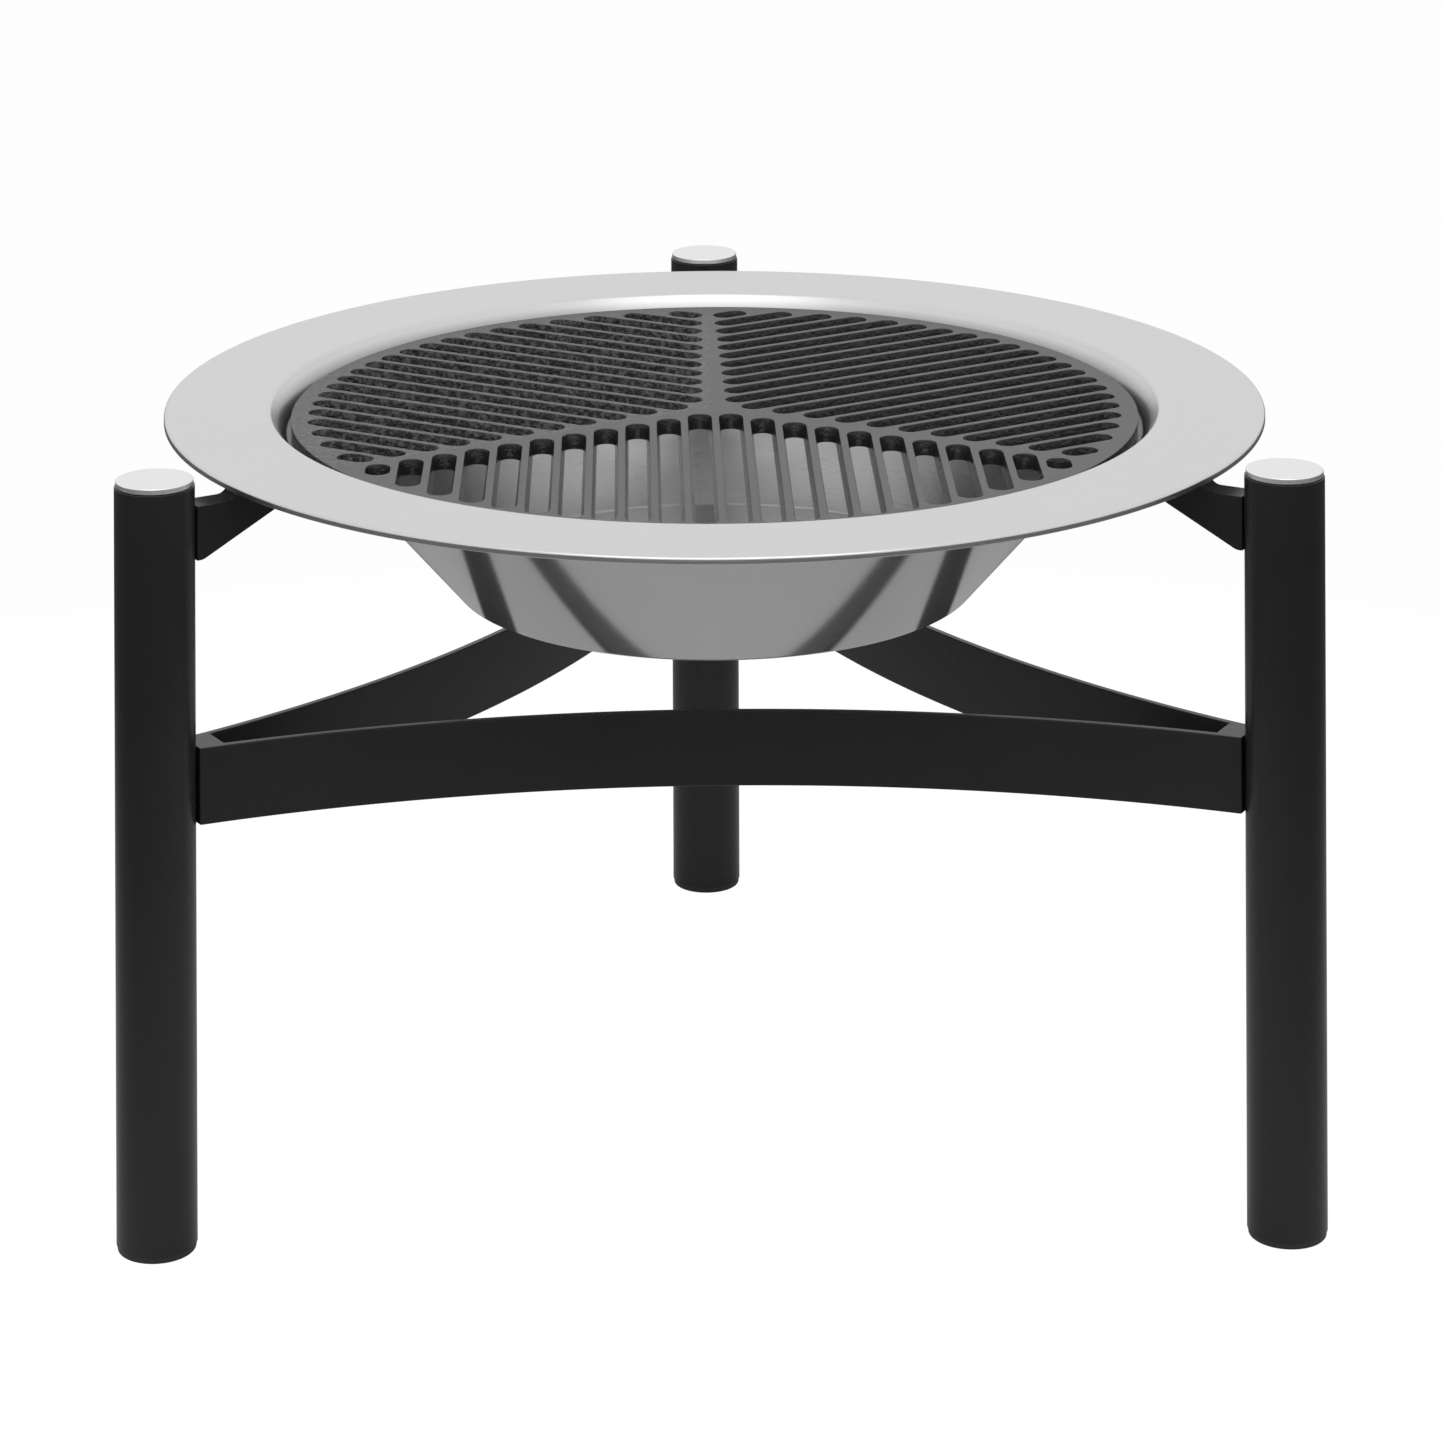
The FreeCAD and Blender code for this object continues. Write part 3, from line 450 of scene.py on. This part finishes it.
def cover(graph, walls, height):
    """A flat face on the walls' open loops at this height."""
    z = graph.node("ShaderNodeSeparateXYZ", None, {
        "Vector": graph.node("GeometryNodeInputPosition")}, "Z")
    near = (z - height).math("ABSOLUTE").math("LESS_THAN", WELD)
    sides = graph.node("GeometryNodeInputMeshEdgeNeighbors")
    open_edges = near * sides.math("LESS_THAN", 1.5)
    loops = graph.node("GeometryNodeMeshToCurve", None, {"Mesh": walls, "Selection": open_edges})
    filled = graph.node("GeometryNodeFillCurve", {"mode": "TRIANGLES"}, {"Curve": loops})
    return graph.node("GeometryNodeTransform", None, {
        "Geometry": filled, "Translation": graph.vector(0.0, 0.0, height)})


def roughened(graph, walls, size):
    """Push the walls about in plan, as sand leaves them, most in the left-hand sector."""
    place = graph.node("GeometryNodeInputPosition")
    reach = size["Roughness"] + rough_sector(graph, place) * size["Rough sector"]
    apart = graph.node("ShaderNodeVectorMath", {"operation": "ADD"}, {0: place, 1: (7.0, 3.0, 5.0)})
    push = graph.vector((graph.noise(place, 260.0, 2.0) - 0.5) * reach,
                        (graph.noise(apart, 260.0, 2.0) - 0.5) * reach, 0.0)
    return graph.node("GeometryNodeSetPosition", None, {"Geometry": walls, "Offset": push})


def grate_tree(material):
    """Walls swept round the rim and every slot, closed by a top and a bottom face."""
    graph, size = new_tree("slotted_grate", GRATE_SIZES)
    half_sector = math.pi / SECTORS
    half = size["Slot width"] / 2
    top_half = half + size["Slot draft"] / 2
    tip = size["Radius"] - size["Ring"] - half

    index = graph.node("GeometryNodeInputIndex")
    sector = (index / (2 * SLOTS_PER_HALF)).math("FLOOR")
    place = index - sector * (2 * SLOTS_PER_HALF)
    mirrored = place.math("GREATER_THAN", SLOTS_PER_HALF - 0.5)
    away = (place - mirrored * SLOTS_PER_HALF + 0.5) * size["Slot pitch"]
    spoke = size["Spoke half"] + size["Spoke growth"] * (1 - away / (tip * math.sin(half_sector)))
    inner = (away * math.cos(half_sector) + spoke + half) / math.sin(half_sector)
    outer = (tip * tip - away * away).math("SQRT")
    side = away * (1 - mirrored * 2)
    turn = sector * (math.tau / SECTORS) + FIRST_SECTOR
    middle = (inner + outer) / 2
    cosine = turn.math("COSINE")
    sine = turn.math("SINE")

    spots = graph.node("GeometryNodePoints", None, {
        "Count": 2 * SLOTS_PER_HALF * SECTORS,
        "Position": graph.vector(
            middle * cosine - side * sine, middle * sine + side * cosine, 0.0)})
    oblong = graph.node("GeometryNodeCurvePrimitiveQuadrilateral", {"mode": "RECTANGLE"},
                        {"Width": 1.0, "Height": 1.0})
    oblongs = graph.node("GeometryNodeInstanceOnPoints", None, {
        "Points": spots, "Instance": oblong, "Rotation": graph.vector(0.0, 0.0, turn),
        "Scale": graph.vector(outer - inner + top_half * 2, top_half * 2, 1.0)})
    real = graph.node("GeometryNodeRealizeInstances", None, {"Geometry": oblongs})
    slots = graph.node("GeometryNodeFilletCurve", {"mode": "POLY"}, {
        "Curve": real, "Count": 10, "Radius": top_half * 0.999, "Limit Radius": True})
    stepped = graph.node("GeometryNodeResampleCurve", {"mode": "LENGTH"},
                         {"Curve": slots, "Length": size["Wall segment"]})
    rim = graph.node("GeometryNodeCurvePrimitiveCircle", {"mode": "RADIUS"},
                     {"Resolution": RIM_STEPS, "Radius": size["Radius"]})
    flat_rim = graph.node("GeometryNodeMeshToCurve", None, {
        "Mesh": graph.node("GeometryNodeCurveToMesh", None, {"Curve": rim})})

    depth = size["Thickness"]
    slot_walls = roughened(graph, swept(graph, stepped, wall_profile(
        graph, size["Edge round"], size["Underside round"], size["Slot draft"] * -1, depth)), size)
    rim_walls = swept(graph, flat_rim, wall_profile(
        graph, size["Edge round"], size["Underside round"], size["Rim taper"], depth, -1))
    walls = graph.node("GeometryNodeMergeByDistance", None, {
        "Geometry": graph.node("GeometryNodeJoinGeometry", None, {
            "Geometry": [slot_walls, rim_walls]}),
        "Distance": WELD})
    top = cover(graph, walls, 0.0)
    bottom = graph.node("GeometryNodeFlipFaces", None, {"Mesh": cover(graph, walls, depth * -1)})
    closed = graph.node("GeometryNodeMergeByDistance", None, {
        "Geometry": graph.node("GeometryNodeJoinGeometry", None, {
            "Geometry": [walls, top, bottom]}),
        "Distance": WELD})
    smooth = graph.node("GeometryNodeSetShadeSmooth", None, {"Geometry": closed})
    lifted = graph.node("GeometryNodeTransform", None, {
        "Geometry": smooth, "Translation": graph.vector(0.0, 0.0, size["Top"])})
    end_tree(graph, lifted, material)
    return graph.tree


grate = grown("grate_casting", grate_tree(cast_iron("grate_cast_iron")), GRATE_SIZES)
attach(grate, "grate")
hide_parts("grate")

# ---------------------------------------------------------------------------
# Frame: three flat steel bars bowed towards the middle, welded at the corners to
# filler blocks and ground flush, with the leg's saddle milled into each corner.
# Everything on the stand that is black is powder coated.

BAR_LOW, BAR_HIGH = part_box("frame_bar_front")
LEG_DIAMETER = 51.0 * MM
LEG_RADIUS = LEG_DIAMETER / 2
SEAT_BITE = 0.6 * MM
BLOCK_LENGTH = 18.1 * MM
CORNER_HALF = 12.45 * MM
BAR_BOW = 62.0 * MM
BAR_THICKNESS = 5.0 * MM
BAR_STEPS = 48
RIM_GAP = 16.4 * MM
LEG_CIRCLE = RIM_RADIUS + RIM_GAP + LEG_RADIUS
LEG_ANGLES = {"left": 210, "right": 330, "rear": 90}

seat = LEG_RADIUS - SEAT_BITE
bar_reach = LEG_CIRCLE - seat
block_face = bar_reach - BLOCK_LENGTH
end_x = bar_reach * math.cos(math.radians(30)) - CORNER_HALF / 2
end_y = bar_reach / 2 + CORNER_HALF * math.cos(math.radians(30))
bar_radius = (end_x ** 2 + BAR_BOW ** 2) / (2 * BAR_BOW)
bar_centre = end_y - BAR_BOW + bar_radius


def powder_coat(name):
    """Black satin powder coat: a fine orange peel with a faintly uneven gloss."""
    made, graph, surface = new_material(name)
    place = graph.node("ShaderNodeTexCoord", output="Object")
    peel = graph.noise(place, 620.0, 2.0)
    dust = graph.noise(place, 2600.0, 2.0)
    cloud = graph.noise(place, 11.0, 4.0, 0.6)
    graph.fill(surface, {
        "Base Color": graph.blend(grey(0.010), grey(0.016), cloud * 0.6 + dust * 0.4),
        "Metallic": 0.0,
        "Roughness": 0.3 + (cloud - 0.5) * 0.12 + (peel - 0.5) * 0.08,
        "Specular IOR Level": 0.33,
        "Normal": graph.bump(peel + dust * 0.25, 0.035 * MM),
    })
    return made


def bar_arc(radius, distance):
    """Plan points along a front bar's arc, ending on the planes square to the legs."""
    lean = math.radians(30)
    reach = lean + math.asin((distance - bar_centre * math.sin(lean)) / radius)
    points = []
    for step in range(BAR_STEPS + 1):
        angle = reach * (2 * step / BAR_STEPS - 1)
        points.append(Vector((radius * math.sin(angle), radius * math.cos(angle) - bar_centre)))
    return points


def saddle():
    """Plan points across the right-hand corner's end, where the tube sits in it."""
    half = math.sqrt(LEG_RADIUS ** 2 - seat ** 2)
    turn = Matrix.Rotation(math.radians(-30), 2)
    points = []
    for step in range(7):
        across = half * (step / 3 - 1)
        along = LEG_CIRCLE - math.sqrt(LEG_RADIUS ** 2 - across ** 2)
        points.append(turn @ Vector((along, across)))
    return points


def frame_ring(name, material, low, high):
    """The bars and corners as one closed ring between two heights."""
    made = bmesh.new()
    outside, inside, corners = [], [], []
    for turn in range(3):
        spin = Matrix.Rotation(math.radians(120 * turn), 2)
        outside.append([spin @ point for point in bar_arc(bar_radius, bar_reach)])
        inside.append([spin @ point for point in bar_arc(bar_radius + BAR_THICKNESS, block_face)])
        corners.append([spin @ point for point in saddle()])

    def lift(rows, height):
        return [[made.verts.new((*point, height)) for point in row] for row in rows]

    levels = [[lift(rows, height) for rows in (outside, inside, corners)] for height in (low, high)]
    for outer, inner, ends in levels:
        for k in range(3):
            for a in range(BAR_STEPS):
                made.faces.new([outer[k][a], outer[k][a + 1], inner[k][a + 1], inner[k][a]])
            following = (k + 1) % 3
            made.faces.new([outer[k][-1], *ends[k], outer[following][0],
                            inner[following][0], inner[k][-1]])
    loops = []
    for outer, inner, ends in levels:
        loops.append(([v for k in range(3) for v in outer[k] + ends[k]],
                      [v for k in range(3) for v in inner[k]]))
    for under, over in zip(*loops):
        for a in range(len(under)):
            b = (a + 1) % len(under)
            made.faces.new([under[a], under[b], over[b], over[a]])
    ring = to_object(name, made, [material])
    bevel(ring, 0.7 * MM)
    return settle(ring)


def bevel(piece, width):
    cut = piece.modifiers.new("edges", "BEVEL")
    cut.width = width
    cut.segments = 3
    cut.limit_method = "ANGLE"
    cut.angle_limit = math.radians(35)


coating = powder_coat("powder_coat_black")
ring = frame_ring("frame_ring", coating, BAR_LOW[2], BAR_HIGH[2])
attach(ring, "stand")
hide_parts("frame_bar_front", "frame_bar_right", "frame_bar_left",
            "corner_block_left", "corner_block_right", "corner_block_rear")

# ---------------------------------------------------------------------------
# Legs: round steel tube with both ends faced and their edges broken, a turned and
# polished steel cap pressed into the top over a narrow shadow gap, and a moulded
# glide plugged into the bottom.

TUBE_WALL = 2.5 * MM
TUBE_EDGE = 0.5 * MM
CAP_SETBACK = 0.85 * MM
CAP_SEAM = 0.4 * MM
CAP_SEAM_DEPTH = 1.0 * MM
CAP_SPIGOT = 14.0 * MM
FOOT_SETBACK = 0.7 * MM
FOOT_SPIGOT = 16.0 * MM
PLUG_PLAY = 0.2 * MM


def moulded_plastic(name):
    """Black moulded glide: matt, with a fine spark-eroded grain."""
    made, graph, surface = new_material(name)
    place = graph.node("ShaderNodeTexCoord", output="Object")
    grain = graph.noise(place, 1800.0, 3.0)
    scuff = graph.noise(place, 60.0, 4.0, 0.65)
    graph.fill(surface, {
        "Base Color": graph.blend(grey(0.008), grey(0.016), grain * 0.5 + scuff * 0.5),
        "Roughness": 0.5 + (scuff - 0.5) * 0.2,
        "Normal": graph.bump(grain, 0.04 * MM),
    })
    return made


foot_plastic = moulded_plastic("foot_moulded_black")
for side in LEG_ANGLES:
    low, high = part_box(f"leg_tube_{side}")
    axis = ((low[0] + high[0]) / 2, (low[1] + high[1]) / 2)
    bore = LEG_RADIUS - TUBE_WALL
    tube = lathe(f"leg_{side}", rounded([
        (bore, low[2], TUBE_EDGE), (LEG_RADIUS, low[2], TUBE_EDGE),
        (LEG_RADIUS, high[2], TUBE_EDGE), (bore, high[2], TUBE_EDGE),
    ], 3), [coating], axis)
    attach(tube, "stand")
    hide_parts(f"leg_tube_{side}")

    spigot = bore - PLUG_PLAY
    disc = LEG_RADIUS - CAP_SETBACK
    seam_top = high[2] + CAP_SEAM
    disc_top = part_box(f"leg_cap_{side}")[1][2]
    cap = lathe(f"cap_{side}", rounded([
        (0.0, high[2] - CAP_SPIGOT, 0.0), (spigot, high[2] - CAP_SPIGOT, 1.0 * MM),
        (spigot, high[2], 0.0), (disc - CAP_SEAM_DEPTH, high[2], 0.0),
        (disc - CAP_SEAM_DEPTH, seam_top, 0.0), (disc, seam_top, 0.3 * MM),
        (disc, disc_top, 0.8 * MM), (0.0, disc_top, 0.0),
    ], 6), [steel(f"cap_turned_{side}", 0.80, 0.38, 0.9, axis)], axis)
    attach(cap, "stand")
    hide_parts(f"leg_cap_{side}")

    glide = LEG_RADIUS - FOOT_SETBACK
    foot = lathe(f"foot_{side}", rounded([
        (0.0, 0.0, 0.0), (glide, 0.0, 1.6 * MM), (glide, low[2], 0.3 * MM),
        (spigot, low[2], 0.0), (spigot, low[2] + FOOT_SPIGOT, 1.5 * MM),
        (0.0, low[2] + FOOT_SPIGOT, 0.0),
    ], 6), [foot_plastic], axis)
    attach(foot, "stand")
    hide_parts(f"leg_foot_{side}")

# ---------------------------------------------------------------------------
# Bowl brackets: cut from 20 mm plate and welded to the legs. Each has a low step
# beside the leg, a hollow up to a level pad under the flange, and a sloping underside.

BRACKET_WIDTH = 20.0 * MM
BRACKET_TOE = 4.2 * MM
BRACKET_RISE = 0.491
BRACKET_PLAY = 3.2 * MM
BRACKET_INSET = 11.1 * MM
STEP_DROP = 12.6 * MM
BRACKET_HEIGHT = 34.4 * MM

step_top = FLANGE_UNDER - STEP_DROP
toe = seat + BRACKET_TOE
pad_start = LEG_RADIUS + RIM_GAP + SHEET + BRACKET_INSET
pad_end = LEG_CIRCLE - MOUTH_RADIUS - skew(wall_rate) - BRACKET_PLAY
toe_bottom = step_top - BRACKET_HEIGHT
bracket_profile = rounded([
    (seat, toe_bottom, 0.0),
    (toe, toe_bottom, 9.0 * MM),
    (pad_end, toe_bottom + (pad_end - toe) * BRACKET_RISE, 0.0),
    (pad_end, FLANGE_UNDER, 0.0),
    (pad_start, FLANGE_UNDER, 0.0),
    (pad_start, step_top, 7.5 * MM),
    (seat, step_top, 0.0),
])


def bracket(name, angle, material):
    """A plate with the bracket's profile, standing along a leg's line to the axis."""
    made = bmesh.new()
    turn = Matrix.Rotation(math.radians(angle), 3, "Z")
    sides = []
    for across in (-BRACKET_WIDTH / 2, BRACKET_WIDTH / 2):
        sides.append([made.verts.new(turn @ Vector((LEG_CIRCLE - point.x, across, point.y)))
                      for point, corner in bracket_profile])
        made.faces.new(sides[-1])
    for a in range(len(bracket_profile)):
        b = (a + 1) % len(bracket_profile)
        made.faces.new([sides[0][a], sides[0][b], sides[1][b], sides[1][a]])
    plate = to_object(name, made, [material])
    bevel(plate, 0.5 * MM)
    return settle(plate)


for side, angle in LEG_ANGLES.items():
    arm = bracket(f"bracket_{side}", angle, coating)
    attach(arm, "stand")
    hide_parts(f"bowl_bracket_{side}")

# ---------------------------------------------------------------------------
# Frame fixings: at each corner two M8 socket screws with washers, driven from the
# inside of the corner into rivet nuts set in the leg's wall. Zinc-plated steel.

SCREW_SPACING = 25.0 * MM
SCREW_SIZES = {
    "Corner radius": block_face,
    "Lower height": (BAR_LOW[2] + BAR_HIGH[2] - SCREW_SPACING) / 2,
    "Spacing": SCREW_SPACING,
}
SCREW_RADIUS = 4.0 * MM
SCREW_LENGTH = 30.0 * MM
HEAD_RADIUS = 6.5 * MM
HEAD_HEIGHT = 8.0 * MM
SOCKET_REACH = 3.0 * MM
SOCKET_DEPTH = 4.0 * MM
WASHER_RADIUS = 8.0 * MM
WASHER_BORE = 4.2 * MM
WASHER_THICKNESS = 1.6 * MM
NUT_LENGTH = 17.0 * MM
NUT_RADIUS = 5.5 * MM
NUT_HEAD_RADIUS = 7.0 * MM
NUT_HEAD = 0.8 * MM
NUT_BORE = 4.05 * MM


def zinc(name):
    """Bright zinc plating with a faint cloudy spangle."""
    made, graph, surface = new_material(name)
    place = graph.node("ShaderNodeTexCoord", output="Object")
    cloud = graph.noise(place, 120.0, 4.0, 0.6)
    fine = graph.noise(place, 1500.0, 2.0)
    graph.fill(surface, {
        "Base Color": graph.blend(grey(0.42), grey(0.6), cloud),
        "Metallic": 1.0,
        "Roughness": 0.28 + (cloud - 0.5) * 0.25,
        "Normal": graph.bump(fine, 0.01 * MM),
    })
    return made


def fixing_tree(material):
    """Puts the incoming fastener at both heights of every corner, pointing inwards."""
    graph, size = new_tree("corner_fixings", SCREW_SIZES)
    index = graph.node("GeometryNodeInputIndex")
    corner = (index / 2).math("FLOOR")
    turn = corner * (math.tau / len(LEG_ANGLES)) + math.pi / 2
    height = size["Lower height"] + size["Spacing"] * (index - corner * 2)
    spots = graph.node("GeometryNodePoints", None, {
        "Count": 2 * len(LEG_ANGLES),
        "Position": graph.vector(size["Corner radius"] * turn.math("COSINE"),
                                 size["Corner radius"] * turn.math("SINE"), height)})
    fasteners = graph.node("GeometryNodeInstanceOnPoints", None, {
        "Points": spots, "Instance": size["Geometry"],
        "Rotation": graph.vector(0.0, math.pi / 2, turn + math.pi)})
    end_tree(graph, fasteners, material)
    return graph.tree


screw_top = WASHER_THICKNESS + HEAD_HEIGHT
nut_base = -(BLOCK_LENGTH - SEAT_BITE)
fasteners = {
    "frame_screws": lathe("screw", rounded([
        (0.0, WASHER_THICKNESS - SCREW_LENGTH, 0.0),
        (SCREW_RADIUS, WASHER_THICKNESS - SCREW_LENGTH, 0.8 * MM),
        (SCREW_RADIUS, WASHER_THICKNESS, 0.0),
        (HEAD_RADIUS, WASHER_THICKNESS, 0.2 * MM),
        (HEAD_RADIUS, screw_top, 0.8 * MM),
        (SOCKET_REACH, screw_top, 0.0),
        (SOCKET_REACH, screw_top - SOCKET_DEPTH, 0.0),
        (0.0, screw_top - SOCKET_DEPTH, 0.0),
    ], 4), [], turns=36, hexed=(5, 6)),
    "frame_washers": lathe("washer", rounded([
        (WASHER_BORE, 0.0, 0.0), (WASHER_RADIUS, 0.0, 0.2 * MM),
        (WASHER_RADIUS, WASHER_THICKNESS, 0.3 * MM), (WASHER_BORE, WASHER_THICKNESS, 0.2 * MM),
    ], 3), [], turns=36),
    "rivet_nuts": lathe("nut", rounded([
        (NUT_BORE, nut_base + NUT_HEAD, 0.0), (NUT_BORE, nut_base - NUT_LENGTH, 0.0),
        (NUT_RADIUS, nut_base - NUT_LENGTH, 0.3 * MM), (NUT_RADIUS, nut_base, 0.0),
        (NUT_HEAD_RADIUS, nut_base, 0.0), (NUT_HEAD_RADIUS, nut_base + NUT_HEAD, 0.3 * MM),
    ], 3), [], turns=36),
}
tree = fixing_tree(zinc("zinc_plated"))
for name, fastener in fasteners.items():
    start = fastener.data
    bpy.data.objects.remove(fastener)
    fixings = grown(name, tree, SCREW_SIZES, start)
    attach(fixings, "stand")
    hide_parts(*(f"{name}_{side}" for side in LEG_ANGLES))

# ---------------------------------------------------------------------------
# Studio: a white floor that runs into a white backdrop, light from all round, and a
# large soft box high in front. The floor glows to the camera and is matt to light,
# pale under the object and dark further out. The camera is a long lens that looks
# down on the rim, with its back kept upright so that the legs stand parallel.

FLOOR_RADIUS = 30.0
PALE_FLOOR = 0.85
DARK_FLOOR = 0.1
PALE_REACH = 1.3
GLOW_SHARE = 0.86
GLOW_STRENGTH = 1.13
floor_mesh = bmesh.new()
bmesh.ops.create_circle(floor_mesh, cap_ends=True, segments=96, radius=FLOOR_RADIUS)
paper, graph, surface = new_material("studio_paper")
place = graph.node("ShaderNodeTexCoord", output="Object")
distance = graph.node("ShaderNodeVectorMath", {"operation": "LENGTH"}, {0: place}, "Value")
fade = (distance / PALE_REACH).math("MINIMUM", 1.0)
matt = graph.node("ShaderNodeBsdfDiffuse", None, {
    "Color": graph.blend(grey(PALE_FLOOR), grey(DARK_FLOOR), fade)})
glow = graph.node("ShaderNodeEmission", None, {"Color": grey(1.0), "Strength": GLOW_STRENGTH})
seen = graph.node("ShaderNodeLightPath", output="Is Camera Ray")
mixed = graph.node("ShaderNodeMixShader", None, {0: seen * GLOW_SHARE, 1: matt, 2: glow})
graph.fill(paper.node_tree.nodes["Material Output"], {"Surface": mixed})
floor = to_object("studio_floor", floor_mesh, [paper])

LOW_SKY = 0.86
HIGH_SKY = 1.05
world = bpy.data.worlds.new("studio")
world.use_nodes = True
bpy.context.scene.world = world
graph = Graph(world.node_tree)
direction = graph.node("ShaderNodeTexCoord", output="Generated")
height = graph.node("ShaderNodeSeparateXYZ", None, {"Vector": direction}, "Z")
climb = height.math("MAXIMUM", 0.0).math("POWER", 0.6)
around = graph.node("ShaderNodeBackground", None, {
    "Color": graph.blend(grey(LOW_SKY), grey(HIGH_SKY), climb), "Strength": 1.0})
backdrop = graph.node("ShaderNodeBackground", None, {"Color": grey(1.0), "Strength": 1.0})
seen = graph.node("ShaderNodeLightPath", output="Is Camera Ray")
mixed = graph.node("ShaderNodeMixShader", None, {0: seen, 1: around, 2: backdrop})
graph.fill(world.node_tree.nodes["World Output"], {"Surface": mixed})


def soft_box(name, place, width, height, power):
    """A rectangular area light that points at the middle of the bowl's rim."""
    lamp = bpy.data.lights.new(name, "AREA")
    lamp.shape = "RECTANGLE"
    lamp.size = width
    lamp.size_y = height
    lamp.energy = power
    made = bpy.data.objects.new(name, lamp)
    made.location = place
    made.rotation_mode = "QUATERNION"
    aim = Vector((0.0, 0.0, RIM_TOP)) - Vector(place)
    made.rotation_quaternion = aim.to_track_quat("-Z", "Y")
    bpy.context.scene.collection.objects.link(made)


soft_box("key_box", (0.0, -2.6, 2.9), 3.4, 1.6, 26.0)

# The camera's own place and turn stay zero. Its parent's inverse matrix holds its place
# and its three axes: two across the upright back, and one along the falling lens.
CAMERA_PLACE = Vector((-0.0560, -3.0465, 1.2680))
CAMERA_HEADING = math.radians(1.139)
CAMERA_FALL = math.radians(18.314)
CAMERA_ROLL = math.radians(0.217)
LENS = 117.68
SENSOR = 36.0

forward = Vector((math.sin(CAMERA_HEADING), math.cos(CAMERA_HEADING), 0.0))
right = Vector((math.cos(CAMERA_HEADING), -math.sin(CAMERA_HEADING), 0.0))
upright = Vector((0.0, 0.0, 1.0))
back = upright * math.sin(CAMERA_FALL) - forward * math.cos(CAMERA_FALL)
across = right * math.cos(CAMERA_ROLL) - upright * math.sin(CAMERA_ROLL)
along = right * math.sin(CAMERA_ROLL) + upright * math.cos(CAMERA_ROLL)

lens = bpy.data.cameras.new("camera")
lens.lens = LENS
lens.sensor_width = SENSOR
lens.clip_end = 100.0
camera = bpy.data.objects.new("camera", lens)
tripod = bpy.data.objects.new("tripod", None)
bpy.context.scene.collection.objects.link(camera)
bpy.context.scene.collection.objects.link(tripod)
camera.parent = tripod
film = Matrix.Identity(4)
for column, vector in enumerate((across, along, back, CAMERA_PLACE)):
    film.col[column][:3] = vector
camera.matrix_parent_inverse = film
bpy.context.scene.camera = camera
bpy.context.scene.view_settings.view_transform = "Standard"

bpy.context.view_layer.update()
